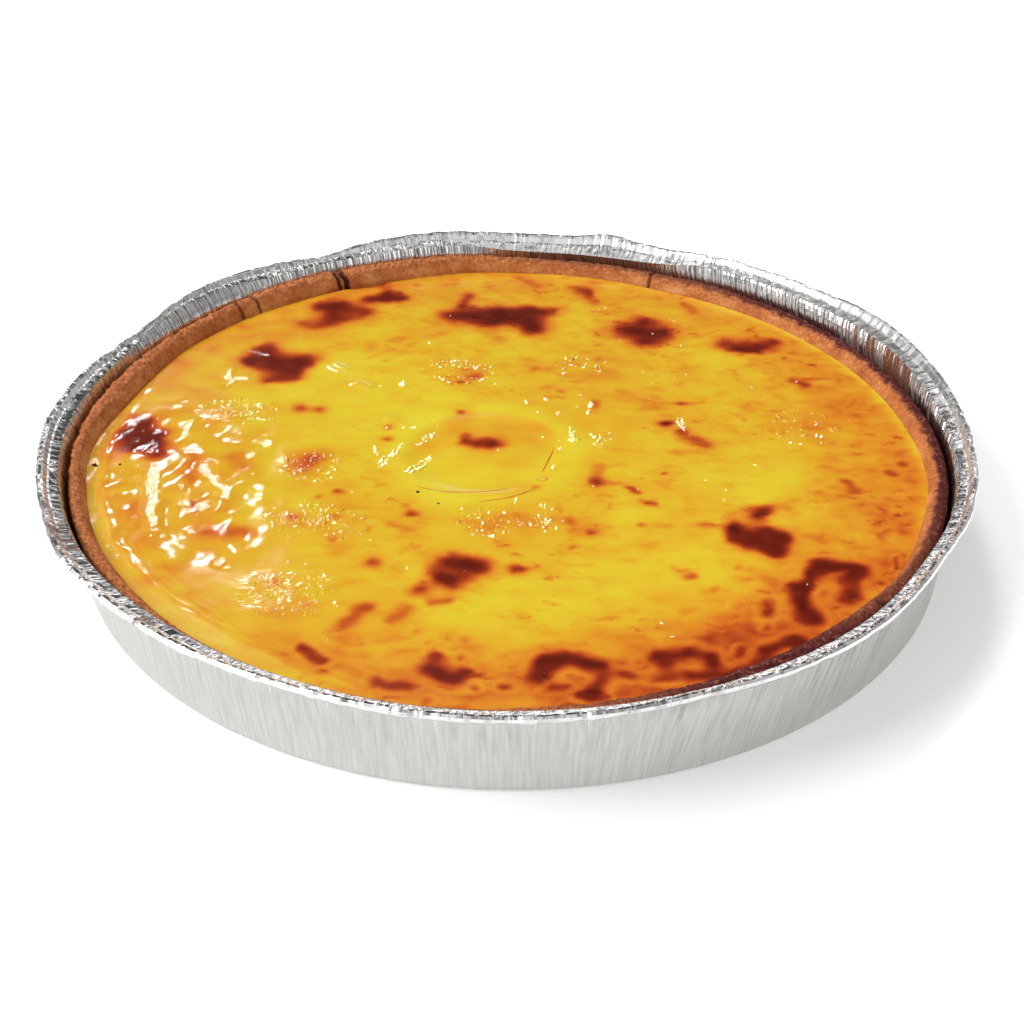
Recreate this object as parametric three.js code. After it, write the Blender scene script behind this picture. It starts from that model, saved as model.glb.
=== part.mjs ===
// A large custard tart in the shallow foil tin it was baked in: a pressed foil tin with a curled rim,
// a short pastry shell lining it, and the set custard that fills the shell.
// Millimetres, +Z up. The origin is the middle of the tin's underside; +X is right and -Y is the front.
import * as THREE from 'three';

// Foil tin
const TIN_FOOT_RADIUS = 125.0;
const TIN_CORNER = 2.4;
const TIN_MOUTH_RADIUS = 128.3;
const TIN_MOUTH_HEIGHT = 28.2;
const TIN_STEPS = 192;
// The soft wall has been pushed over: the base sits this far to the right of the mouth.
const TIN_LEAN = 1.2;
const FOIL = 0.5;
const BEAD_RING_RADIUS = 132.9;
const BEAD_HEIGHT = 29.8;
const BEAD_RADIUS = 1.1;
const BEAD_CURL = 300;
const BEAD_SIDES = 6;
const FLANGE_CREASE_RADIUS = 130.6;
const FLANGE_CREASE_HEIGHT = 28.9;
const PLEATS = 96;
const WALL_PLEAT_DEPTH = 0.18;
const FLANGE_CRIMP_DEPTH = 0.22;

// Where handling has bent the soft rim: degrees round from +X, how wide, how sharp its ends are,
// and how far the mouth edge and the curled bead have moved there, as [outwards, upwards].
const RIM_BENDS = [
  { at: 27, spread: 14, mouth: [0.8, 1.5], bead: [2.2, 1.5] },
  { at: 52, spread: 12, mouth: [0.6, 1.1], bead: [0.3, 0.8] },
  { at: 65, spread: 5, bead: [-0.8, -0.6] },
  { at: 75, spread: 3.5, bead: [1.0, 1.0] },
  { at: 78, spread: 15.5, sharp: 6, mouth: [-2.6, -1.3] },
  { at: 104, spread: 9, mouth: [0.0, 0.8], bead: [0.3, 1.0] },
  { at: 119, spread: 5, mouth: [0.0, 0.7], bead: [-0.8, -1.0] },
  { at: 142, spread: 12, sharp: 4, mouth: [2.0, 1.9], bead: [0.6, 0.4] },
  { at: 154, spread: 9, bead: [-2.0, -1.5] },
  { at: 165, spread: 8, mouth: [-0.8, 0.0], bead: [-0.8, 0.0] },
  { at: 195, spread: 14, mouth: [-0.6, 0.0], bead: [-0.6, 0.0] },
  { at: 212, spread: 7, bead: [0.7, 0.0] },
  { at: 228, spread: 12, mouth: [-1.4, 0.2], bead: [-0.2, 0.0] },
  { at: 245, spread: 10, mouth: [-0.8, 0.0], bead: [-0.9, 0.0] },
  { at: 270, spread: 9, bead: [0.5, 0.0] },
  { at: 291, spread: 6, bead: [-0.9, 0.0] },
  { at: 329, spread: 11, mouth: [-1.5, 0.0], bead: [-2.3, 0.0] },
  { at: 355, spread: 12, mouth: [-0.2, 0.0], bead: [-0.8, 0.0] },
];

// Pastry shell
const CLEARANCE = 0.3;
const CRUST_GAP = 0.75;
const CRUST_BASE = 3.0;
const CRUST_WALL = 6.9;
const CRUST_TOP = 25.0;
const CRUST_CORNER = 2.6;
const CRUST_LEAN = 3.0;
// Bumps of the crust's top edge and of its thickness: degrees round, spread and millimetres.
const CRUST_RISES = [
  { at: 77, spread: 10, rise: -0.9 },
  { at: 121, spread: 20, rise: 2.2 },
  { at: 168, spread: 26, rise: 1.1 },
  { at: 248, spread: 26, rise: -1.8 },
  { at: 312, spread: 16, rise: 0.6 },
];
const CRUST_SWELLS = [
  { at: 45, spread: 32, swell: 1.6 },
  { at: 115, spread: 6, swell: 1.2 },
  { at: 168, spread: 10, swell: 0.7 },
  { at: 195, spread: 22, swell: -0.7 },
  { at: 255, spread: 28, swell: -1.1 },
];
// The ridge along the crust's top, from its outer shoulder inwards: how far in and how far below the top.
const CRUST_RIDGE = [[0, 1.6], [0.9, 0.5], [2.6, 0], [4.4, 0.5], [5.4, 1.5]];
const CRUMB_BUMP = 0.22;
const CRUMB_WAVES = [23, 9];
const FOOD_STEPS = 108;

// Custard
const CUSTARD_LEVEL = 21.9;
const CUSTARD_CROWN = 0.35;
// The skin's faint ripples: their height, and how long they are across, along and aslant.
const RIPPLE = { height: 0.22, across: 17, along: 21, aslant: 29 };
// The skin has drawn back from the crust along the left, and a lower band shows beside it.
const SKIN_EDGE = { at: 206, spread: 36, sharp: 4, inset: 3.8, drop: 1.3, margin: 0.6, step: 0.4 };
// The round dip in the middle, where the custard set last.
const DIP = { x: -9.8, y: -2.0, radius: 27.0, slope: 4.0, depth: 0.9 };
const DIP_LIP = { out: 2.0, spread: 3.0, height: 0.35 };
const OPEN_RINGS = 7;
const DIP_RINGS = [31, 28, 25, 20, 11];

const FULL_TURN = 360;
// How far in from each side the middle of a rounded corner lies, as a share of its radius.
const CORNER_MIDDLE = 1 - Math.SQRT1_2;
const COLOURS = { foil: 0xd9d9d6, pastry: 0xb5692e, custard: 0xe9b42d };

// 1 in the middle of a stretch of the rim and 0 away from it; a sharp stretch is level with steep ends.
function near(degrees, { at, spread, sharp = 2 }) {
  const away = Math.abs(THREE.MathUtils.euclideanModulo(degrees - at + 180, FULL_TURN) - 180);
  return Math.exp(-((away / spread) ** sharp));
}

// A wave that goes round the tart a whole number of times.
function wave(degrees, times) {
  return Math.cos(THREE.MathUtils.degToRad(degrees * times));
}

// How far the rim's mouth or bead has moved at this angle.
function bent(degrees, edge) {
  const moved = { out: 0, up: 0 };
  for (const bend of RIM_BENDS) {
    const [out, up] = bend[edge] ?? [0, 0];
    const share = near(degrees, bend);
    moved.out += share * out;
    moved.up += share * up;
  }
  return moved;
}

// A point at an angle, a distance from the axis and a height.
function onTurn(degrees, radius, height) {
  const angle = THREE.MathUtils.degToRad(degrees);
  return new THREE.Vector3(radius * Math.cos(angle), radius * Math.sin(angle), height);
}

// A closed round body whose outline changes from angle to angle. outline(degrees) lists points from the
// axis underneath, up the outside and back to the axis on top, as many of them at every angle.
function turnedBody(outline, steps) {
  const first = outline(0).map((point) => new THREE.Vector2(Math.hypot(point.x, point.y), point.z));
  const geometry = new THREE.LatheGeometry(first, steps);
  const position = geometry.getAttribute('position');
  for (let step = 0; step <= steps; step += 1) {
    const degrees = ((step % steps) * FULL_TURN) / steps;
    outline(degrees).forEach((point, index) => {
      const lean = TIN_LEAN * (1 - point.z / TIN_MOUTH_HEIGHT);
      position.setXYZ(step * first.length + index, point.x + lean, point.y, point.z);
    });
  }
  geometry.computeVertexNormals();
  return geometry;
}

// The tin's inner wall at this angle and height, between its foot and its mouth.
function tinWallRadius(degrees, height) {
  const mouth = bent(degrees, 'mouth');
  const mouthHeight = TIN_MOUTH_HEIGHT + mouth.up;
  const share = (height - TIN_CORNER) / (mouthHeight - TIN_CORNER);
  return THREE.MathUtils.lerp(TIN_FOOT_RADIUS, TIN_MOUTH_RADIUS + mouth.out, share) - FOIL;
}

// Flat base, rounded foot, pleated wall, crimped flange with a crease, and the bead curled round its edge.
function tinOutline(degrees) {
  const mouth = bent(degrees, 'mouth');
  const bead = bent(degrees, 'bead');
  const pleat = wave(degrees, PLEATS);
  const foot = TIN_FOOT_RADIUS;
  const flat = foot - TIN_CORNER;
  const sag = TIN_CORNER * CORNER_MIDDLE;
  const mouthRadius = TIN_MOUTH_RADIUS + mouth.out + pleat * WALL_PLEAT_DEPTH;
  const mouthHeight = TIN_MOUTH_HEIGHT + mouth.up;
  const creaseRadius = FLANGE_CREASE_RADIUS + (mouth.out + bead.out) / 2;
  const creaseHeight = FLANGE_CREASE_HEIGHT + (mouth.up + bead.up) / 2 - pleat * FLANGE_CRIMP_DEPTH;
  const ringRadius = BEAD_RING_RADIUS + bead.out;
  const ringHeight = BEAD_HEIGHT + bead.up + pleat * FLANGE_CRIMP_DEPTH;
  const beadPoints = [];
  for (let side = 0; side < BEAD_SIDES; side += 1) {
    const turn = THREE.MathUtils.degToRad(BEAD_CURL * (side / (BEAD_SIDES - 1) - 0.5));
    beadPoints.push([ringRadius + BEAD_RADIUS * Math.cos(turn), ringHeight + BEAD_RADIUS * Math.sin(turn)]);
  }
  return [
    [0, 0],
    [flat, 0],
    [foot - sag, sag],
    [foot, TIN_CORNER],
    [mouthRadius, mouthHeight - FOIL],
    [creaseRadius, creaseHeight - FOIL],
    ...beadPoints,
    [creaseRadius, creaseHeight],
    [mouthRadius, mouthHeight],
    [mouthRadius - FOIL, mouthHeight - FOIL],
    [foot - FOIL, TIN_CORNER],
    [foot - sag - FOIL, sag + FOIL],
    [flat - FOIL, FOIL],
    [0, FOIL],
  ].map(([radius, height]) => onTurn(degrees, radius, height));
}

function crustTop(degrees) {
  const crumb = CRUMB_WAVES.reduce((bump, waves) => bump * wave(degrees, waves), CRUMB_BUMP);
  return CRUST_RISES.reduce((top, rise) => top + rise.rise * near(degrees, rise), CRUST_TOP + crumb);
}

function crustThickness(degrees) {
  return CRUST_SWELLS.reduce((wall, swell) => wall + swell.swell * near(degrees, swell), CRUST_WALL);
}

// The pastry's inner face where the custard meets it.
function crustInnerRadius(degrees) {
  return tinWallRadius(degrees, CUSTARD_LEVEL) - CRUST_GAP - crustThickness(degrees);
}

const CRUST_UNDER = FOIL + CLEARANCE;
const CRUST_FLOOR = CRUST_UNDER + CRUST_BASE;
const WALL_LEAN = CRUST_LEAN / (CUSTARD_LEVEL - CRUST_FLOOR - CRUST_CORNER);

// The inner face leans in towards the floor of the shell, as the tin's wall does.
function crustInnerFoot(degrees) {
  return crustInnerRadius(degrees) - CRUST_LEAN;
}

// A flat floor, a wall that follows the tin, and a rounded ridge that is rough and uneven along the top.
function crustOutline(degrees) {
  const top = crustTop(degrees);
  const shoulder = tinWallRadius(degrees, top - CRUST_RIDGE[0][1]) - CRUST_GAP;
  const foot = tinWallRadius(degrees, CRUST_UNDER + CRUST_CORNER) - CRUST_GAP;
  const innerFoot = crustInnerFoot(degrees);
  const sag = CRUST_CORNER * CORNER_MIDDLE;
  return [
    [0, CRUST_UNDER],
    [foot - CRUST_CORNER, CRUST_UNDER],
    [foot - sag, CRUST_UNDER + sag],
    [foot, CRUST_UNDER + CRUST_CORNER],
    ...CRUST_RIDGE.map(([inset, drop]) => [shoulder - inset, top - drop]),
    [crustInnerRadius(degrees), CUSTARD_LEVEL],
    [innerFoot, CRUST_FLOOR + CRUST_CORNER],
    [innerFoot - sag, CRUST_FLOOR + sag],
    [innerFoot - CRUST_CORNER, CRUST_FLOOR],
    [0, CRUST_FLOOR],
  ].map(([radius, height]) => onTurn(degrees, radius, height));
}

// Height of the custard's skin: nearly level, faintly rippled, with the round dip and its smooth lip.
function skinHeight(x, y) {
  const fromDip = Math.hypot(x - DIP.x, y - DIP.y);
  const sunk = 1 - THREE.MathUtils.smoothstep(fromDip, DIP.radius - DIP.slope, DIP.radius);
  const lip = Math.exp(-(((fromDip - DIP.radius - DIP_LIP.out) / DIP_LIP.spread) ** 2));
  const ripple = Math.sin(x / RIPPLE.across) * Math.cos(y / RIPPLE.along) + Math.sin((x + y) / RIPPLE.aslant);
  const crown = CUSTARD_CROWN * (1 - Math.hypot(x, y) / TIN_MOUTH_RADIUS);
  return CUSTARD_LEVEL + crown + RIPPLE.height * ripple + DIP_LIP.height * lip - DIP.depth * sunk;
}

// The filling up to its skin. The rings of points slide from the tart's own middle at the rim to the
// middle of the dip, so that the dip and its lip have rings of their own.
function custardOutline(degrees) {
  const edge = crustInnerRadius(degrees) - CLEARANCE;
  const foot = crustInnerFoot(degrees) - CLEARANCE;
  const floor = CRUST_FLOOR + CLEARANCE;
  const drawnBack = near(degrees, SKIN_EDGE);
  const skinEdge = edge - SKIN_EDGE.margin - SKIN_EDGE.inset * drawnBack;
  const drop = SKIN_EDGE.drop * drawnBack;
  const sag = CRUST_CORNER * CORNER_MIDDLE;
  const below = [
    onTurn(degrees, 0, floor),
    onTurn(degrees, foot - CRUST_CORNER, floor),
    onTurn(degrees, foot - sag, floor + sag),
    onTurn(degrees, foot, floor + CRUST_CORNER),
  ];
  const rim = onTurn(degrees, edge - drop * WALL_LEAN, 0);
  rim.z = Math.min(CUSTARD_LEVEL, skinHeight(rim.x, rim.y)) - drop;
  const band = onTurn(degrees, skinEdge + SKIN_EDGE.step, 0);
  band.z = skinHeight(band.x, band.y) - drop;
  const radii = [skinEdge];
  for (let ring = 1; ring <= OPEN_RINGS; ring += 1) {
    radii.push(THREE.MathUtils.lerp(skinEdge, DIP_RINGS[0], ring / (OPEN_RINGS + 1)));
  }
  const skin = [...radii, ...DIP_RINGS, 0].map((radius) => {
    const slide = 1 - (radius / edge) ** 2;
    const point = onTurn(degrees, radius, 0).add(new THREE.Vector3(DIP.x * slide, DIP.y * slide, 0));
    point.z = skinHeight(point.x, point.y);
    return point;
  });
  return [...below, rim, band, ...skin];
}

function piece(name, outline, steps, finish) {
  const mesh = new THREE.Mesh(turnedBody(outline, steps), new THREE.MeshStandardMaterial(finish));
  mesh.name = name;
  return mesh;
}

const tart = new THREE.Group();
tart.add(
  piece('foil_tin', tinOutline, TIN_STEPS, { color: COLOURS.foil, roughness: 0.3, metalness: 1 }),
  piece('pastry_shell', crustOutline, FOOD_STEPS, { color: COLOURS.pastry, roughness: 0.85, metalness: 0 }),
  piece('custard', custardOutline, FOOD_STEPS, { color: COLOURS.custard, roughness: 0.25, metalness: 0 }),
);

export default tart;
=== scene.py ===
import math

import bmesh
import bpy
import numpy as np
from mathutils import Matrix, Quaternion, Vector, noise


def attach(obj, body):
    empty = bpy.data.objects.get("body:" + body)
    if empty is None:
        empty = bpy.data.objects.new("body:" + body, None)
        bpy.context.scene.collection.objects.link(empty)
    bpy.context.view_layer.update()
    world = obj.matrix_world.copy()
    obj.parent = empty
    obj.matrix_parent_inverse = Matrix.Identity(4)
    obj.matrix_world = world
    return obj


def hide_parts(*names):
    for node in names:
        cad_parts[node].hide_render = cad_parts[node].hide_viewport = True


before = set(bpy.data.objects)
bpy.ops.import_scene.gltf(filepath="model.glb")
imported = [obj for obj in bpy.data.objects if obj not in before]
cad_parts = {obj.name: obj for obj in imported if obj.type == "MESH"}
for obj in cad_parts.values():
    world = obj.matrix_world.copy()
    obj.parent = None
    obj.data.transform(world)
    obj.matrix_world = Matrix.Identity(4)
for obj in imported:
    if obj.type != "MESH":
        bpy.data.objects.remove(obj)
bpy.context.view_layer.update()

# The foil tin: a disc of soft aluminium foil pressed into a shallow round tin. Drawing up the wall gathers
# the foil into fine pleats, and the edge is crimped into a flange and curled over into a bead. Handling has
# bent the rim. Sizes are in millimetres and angles in degrees round from +X, with the front at 270.
MM = 0.001
FOOT_RADIUS = 125.0
FOOT_CORNER = 2.4
MOUTH_RADIUS = 128.3
MOUTH_HEIGHT = 28.2
CREASE_RADIUS = 130.6
CREASE_HEIGHT = 28.9
BEAD_RING_RADIUS = 132.9
BEAD_HEIGHT = 29.8
BEAD_RADIUS = 1.1
FOIL = 0.22
TIN_LEAN = 1.2
TIN_WEDGES = 40
TIN_WEDGE_STEPS = 60
# Each bend of the rim: where, how wide, how sharp its ends are, then how far the mouth edge and the bead have
# moved outwards and upwards.
RIM_BENDS = [
    (27, 14, 2, (0.8, 1.5), (2.2, 1.5)),
    (52, 12, 2, (0.6, 1.1), (0.3, 0.8)),
    (65, 5, 2, (0.0, 0.0), (-0.8, -0.6)),
    (75, 3.5, 2, (0.0, 0.0), (1.0, 1.0)),
    (78, 15.5, 6, (-1.8, -1.3), (0.0, 0.0)),
    (104, 9, 2, (0.0, 0.8), (0.3, 1.0)),
    (119, 5, 2, (0.0, 0.7), (-0.8, -1.0)),
    (142, 12, 4, (2.0, 1.9), (0.6, 0.4)),
    (154, 9, 2, (0.0, 0.0), (-2.0, -1.5)),
    (165, 8, 2, (-0.8, 0.0), (-0.8, 0.0)),
    (195, 14, 2, (-0.6, 0.0), (-0.6, 0.0)),
    (212, 7, 2, (0.0, 0.0), (0.7, 0.0)),
    (228, 12, 2, (-1.4, 0.2), (-0.2, 0.0)),
    (245, 10, 2, (-0.8, 0.0), (-0.9, 0.0)),
    (270, 9, 2, (0.0, 0.0), (0.5, 0.0)),
    (291, 6, 2, (0.0, 0.0), (-0.9, 0.0)),
    (329, 11, 2, (-1.5, 0.0), (-2.3, 0.0)),
    (355, 12, 2, (-0.2, 0.0), (-0.8, 0.0)),
]
# Creases round the tin: about how many in a turn and how deep. The wall is gathered in pleats, the flange is
# crimped, the bead is pressed flat in facets, and handling has crumpled all of it.
WALL_PLEATS = (800, 0.24)
FLANGE_CRIMPS = (320, 0.34)
FLANGE_FOLDS = (210, 0.26)
BEAD_CRIMPS = (240, 0.13)
BEAD_FACETS = (240, 0.26)
RIM_WOBBLE = (70, 0.22)
CRUMPLE_SIZE = 1.5
CRUMPLE_DEPTH = 0.16
# Wrinkles on the outside of the wall: how far apart, how high, how wide in the measure of the noise that
# places them, how much longer they are than their spacing, how many degrees they lean, where they are
# strongest (angle and spread) and how strong they are elsewhere. Only a little of the pleating shows there.
WRINKLE_SPACING = 2.5
WRINKLE_HEIGHT = 0.45
WRINKLE_WIDTH = 0.14
WRINKLE_LENGTH = 6
FOLD_SLANT = 7.0
WRINKLED_STRETCH = (322, 45)
PLAIN_WRINKLES = 0.2
OUTER_PLEATS = 0.10
# The wrinkles come in patches, and the crimps of the rim are uneven: how large the patches are, their mean
# strength and how much it varies. The wall's folds grow from the foot to full depth below the mouth.
WRINKLE_PATCHES = (8, 0.6, 1.2)
UNEVEN_CRIMPS = (9, 0.55, 0.6)
FOLD_GROWTH = 1.6
# The flange's crimps run out towards the bead, and a little way down from the mouth, where they are
# lower. The bead is crumpled less than the flange, and wobbles up less than out.
CRIMP_FADE = 0.7
MOUTH_CRIMPS = 0.5
MOUTH_CRIMP_FADE = 16
BEAD_CRUMPLE = 0.5
WOBBLE_LIFT = 0.7
# Painted shade darkens the bottoms of the inner pleats and the underside of the rim: how soon and how much.
VALLEY_START = 0.2
UNDERSIDE_FADE = 1.4
UNDERSIDE_SHADE = 0.7
# Handling has dulled a stretch of the flange (angle and spread) and, a little, the inside of the wall.
DULL_STRETCH = (30, 35)
DULL_FLANGE = 0.5
DULL_INSIDE = 0.25
# The wall turns out to the flange over its last few millimetres.
MOUTH_FLARE = 12
FLARE_HEIGHT = 4.5
FLARE_DEPTH = 0.9
# Baked-on brown stains on the foil: angle, spread, and how strong on the inner wall and on the flange.
STAINS = [
    (20, 18, 0.9, 0.35), (48, 14, 0.5, 0.25), (77, 12, 0.15, 0.35), (205, 15, 0.3, 0.8), (228, 8, 0.2, 0.6),
    (158, 9, 0.65, 0.5), (310, 14, 0.4, 0.4),
]


def near(degrees, at, spread, sharp=2):
    """1 in the middle of a stretch of the turn and 0 away from it; a sharp one is level with steep ends."""
    away = np.abs((degrees - at + 180) % 360 - 180)
    return np.exp(-(away / spread) ** sharp)


def angle_of(x, y):
    """Degrees round from +X."""
    return np.degrees(np.arctan2(y, x))


def rim_moved(degrees):
    """How far the mouth edge and the bead have moved at each angle: mouth out and up, bead out and up."""
    moved = np.zeros((4,) + np.shape(degrees))
    for at, spread, sharp, mouth, bead in RIM_BENDS:
        share = near(degrees, at, spread, sharp)
        for row, move in enumerate(mouth + bead):
            moved[row] += share * move
    return moved


def wall_flare(height):
    """How far the wall stands in from the straight line between its foot and its mouth."""
    bend = MOUTH_HEIGHT - FLARE_HEIGHT
    straight = np.clip(height / bend, 0, 1)
    curve = 1 - np.clip((height - bend) / FLARE_HEIGHT, 0, 1) ** 2
    return FLARE_DEPTH * np.where(height < bend, straight, curve)


def creased(degrees, heights, seed):
    """Straight facets round the turn between these heights, unevenly spaced, as in creased foil."""
    gaps = np.random.default_rng(seed).uniform(0.2, 1.0, len(heights)) ** 2
    places = np.cumsum(gaps) * 360 / gaps.sum()
    return np.interp(degrees % 360, places, heights, period=360)


def folds(degrees, count, depth, seed):
    """Loose folds of random depth."""
    heights = np.random.default_rng(seed).uniform(-1, 1, count)
    return depth * creased(degrees, heights, seed + 1)


def pleats(degrees, count, depth, seed):
    """Pleats of uneven depth, out and in by turns."""
    heights = np.random.default_rng(seed).uniform(0.1, 1.0, 2 * count)
    heights[::2] *= -1
    return depth * creased(degrees, heights, seed + 1)


def lumps(points, size, seed):
    """Smooth random lumps of about this size, from -1 to 1, at each point in millimetres."""
    places = points / size + np.array((seed * 17.3, seed * 7.9, seed * 3.1))
    return np.array([noise.noise(place) for place in places])


def in_patches(points, patches, seed):
    """A strength that varies in patches: of this size, about this mean strength, by this much."""
    size, mean, spread = patches
    return mean + spread * lumps(points, size, seed)


def arc(middle_radius, middle_height, size, start, stop, sides):
    """Outline points along an arc in the upright half-plane."""
    turns = np.radians(np.linspace(start, stop, sides + 1))
    return [(middle_radius + size * math.cos(turn), middle_height + size * math.sin(turn), 0)
            for turn in turns]


def spun(outline, wedges, wedge_steps):
    """A closed body spun about the upright axis from points of radius, height and cuts up to the next point.
    One wedge is spun first, and the rest of the turn is copies of it."""
    body = bmesh.new()
    corners = [body.verts.new((radius, 0, height)) for radius, height, _ in outline]
    sides = [body.edges.new(pair) for pair in zip(corners, corners[1:])]
    for side, (_, _, cuts) in zip(sides, outline):
        if cuts:
            bmesh.ops.subdivide_edges(body, edges=[side], cuts=cuts)
    wedge = math.tau / wedges
    bmesh.ops.spin(body, geom=body.verts[:] + body.edges[:], cent=(0, 0, 0), axis=(0, 0, 1),
                   angle=wedge, steps=wedge_steps)
    bmesh.ops.spin(body, geom=body.verts[:] + body.edges[:] + body.faces[:], cent=(0, 0, 0), axis=(0, 0, 1),
                   angle=math.tau - wedge, steps=wedges - 1, use_duplicate=True)
    bmesh.ops.remove_doubles(body, verts=body.verts[:], dist=0.001)
    bmesh.ops.recalc_face_normals(body, faces=body.faces[:])
    return body


def piece_from(name, body):
    """An object in the scene that holds the bmesh."""
    mesh = bpy.data.meshes.new(name)
    body.to_mesh(mesh)
    body.free()
    mesh.shade_smooth()
    piece = bpy.data.objects.new(name, mesh)
    bpy.context.scene.collection.objects.link(piece)
    return piece


def points_of(mesh):
    points = np.empty(len(mesh.vertices) * 3)
    mesh.vertices.foreach_get("co", points)
    return points.reshape(-1, 3)


def normals_of(mesh):
    normals = np.empty(len(mesh.vertices) * 3)
    mesh.vertices.foreach_get("normal", normals)
    return normals.reshape(-1, 3)


def put_points(mesh, x, y, z):
    """Moves the vertices to these places in millimetres, with the push that set the mouth off the base."""
    lean = TIN_LEAN * (1 - z / MOUTH_HEIGHT)
    mesh.vertices.foreach_set("co", (np.column_stack((x + lean, y, z)) * MM).ravel())
    mesh.update()


def paint(mesh, name, values):
    """Stores one number for each vertex, for the material to read."""
    layer = mesh.attributes.new(name, "FLOAT", "POINT")
    layer.data.foreach_set("value", values.astype(np.float32))


def store_grain(mesh, grain):
    """Stores a place along the surface for each vertex, for a pattern that follows the piece."""
    layer = mesh.attributes.new("grain", "FLOAT_VECTOR", "POINT")
    layer.data.foreach_set("vector", (grain * MM).astype(np.float32).ravel())


def node(tree, kind, inputs=None, **settings):
    """Adds a shader node. An input that is given a socket is linked, and any other is set to the value."""
    made = tree.nodes.new(kind)
    for name, value in settings.items():
        setattr(made, name, value)
    for name, value in (inputs or {}).items():
        if isinstance(value, bpy.types.NodeSocket):
            tree.links.new(value, made.inputs[name])
        else:
            made.inputs[name].default_value = value
    return made


def maths(tree, operation, first, second=0.0, clamp=False):
    made = node(tree, "ShaderNodeMath", {0: first, 1: second}, operation=operation, use_clamp=clamp)
    return made.outputs[0]


def added(tree, first, second, share):
    """The first number and a share of the second."""
    return maths(tree, "ADD", first, maths(tree, "MULTIPLY", second, share))


def sharpened(tree, value, start, slope):
    """0 up to the start, then rising this steeply to 1."""
    return maths(tree, "MULTIPLY", maths(tree, "SUBTRACT", value, start), slope, clamp=True)


def add_bump(tree, shader, height, strength, distance):
    """Fine relief that changes only how the surface catches light."""
    bump = node(tree, "ShaderNodeBump", {"Height": height, "Strength": strength, "Distance": distance})
    tree.links.new(bump.outputs[0], shader.inputs["Normal"])


def linear(colour):
    """A colour as it looks on screen, 0 to 255, as the light that a shader takes."""
    share = np.array(colour) / 255
    light = np.where(share <= 0.04045, share / 12.92, ((share + 0.055) / 1.055) ** 2.4)
    return (*light, 1.0)


def ramp(tree, factor, stops):
    """Colours along a scale: stops of place and colour, in order."""
    made = node(tree, "ShaderNodeValToRGB", {"Fac": factor})
    elements = made.color_ramp.elements
    elements[0].position = stops[0][0]
    elements[1].position = stops[-1][0]
    for place, _ in stops[1:-1]:
        elements.new(place)
    for element, (_, colour) in zip(elements, stops):
        element.color = linear(colour)
    return made.outputs["Color"]


def mixed(tree, factor, first, second):
    """One colour turning into another as the factor goes from 0 to 1."""
    made = node(tree, "ShaderNodeMix", {"Factor": factor}, data_type="RGBA")
    for socket, colour in ((made.inputs[6], first), (made.inputs[7], second)):
        if isinstance(colour, bpy.types.NodeSocket):
            tree.links.new(colour, socket)
        else:
            socket.default_value = linear(colour)
    return made.outputs[2]


def new_finish(name):
    material = bpy.data.materials.new(name)
    material.use_nodes = True
    return material, material.node_tree, material.node_tree.nodes["Principled BSDF"]


def painted(tree, name):
    return node(tree, "ShaderNodeAttribute", attribute_name=name).outputs["Fac"]


def speckle(tree, vector, scale, detail=2.0, roughness=0.5):
    made = node(tree, "ShaderNodeTexNoise",
                {"Vector": vector, "Scale": scale, "Detail": detail, "Roughness": roughness})
    return made.outputs["Fac"]


def foil_outline():
    """Base, rounded foot, wall, flange and bead on the outside, then back down the inside."""
    flat = FOOT_RADIUS - FOOT_CORNER
    return [
        (0, 0, 0),
        *arc(flat, FOOT_CORNER, FOOT_CORNER, -90, 0, 3)[:-1],
        (FOOT_RADIUS, FOOT_CORNER, 4),
        (MOUTH_RADIUS - 0.55, MOUTH_HEIGHT - 4, 2),
        (MOUTH_RADIUS, MOUTH_HEIGHT - FOIL, 1),
        (CREASE_RADIUS, CREASE_HEIGHT - FOIL, 0),
        *arc(BEAD_RING_RADIUS, BEAD_HEIGHT, BEAD_RADIUS, -150, 150, 8),
        (CREASE_RADIUS + 0.5, CREASE_HEIGHT + 0.25, 0),
        (CREASE_RADIUS, CREASE_HEIGHT, 3),
        (MOUTH_RADIUS + 0.3, MOUTH_HEIGHT + 0.05, 0),
        (MOUTH_RADIUS - FOIL * 0.6, MOUTH_HEIGHT - FOIL * 0.4, 0),
        (MOUTH_RADIUS - FOIL, MOUTH_HEIGHT - 0.8, 3),
        (MOUTH_RADIUS - FOIL - 0.6, MOUTH_HEIGHT - 5.5, 0),
        (FOOT_RADIUS - FOIL, FOOT_CORNER, 1),
        (flat - FOIL, FOIL, 1),
        (0, FOIL, 0),
    ]


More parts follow.
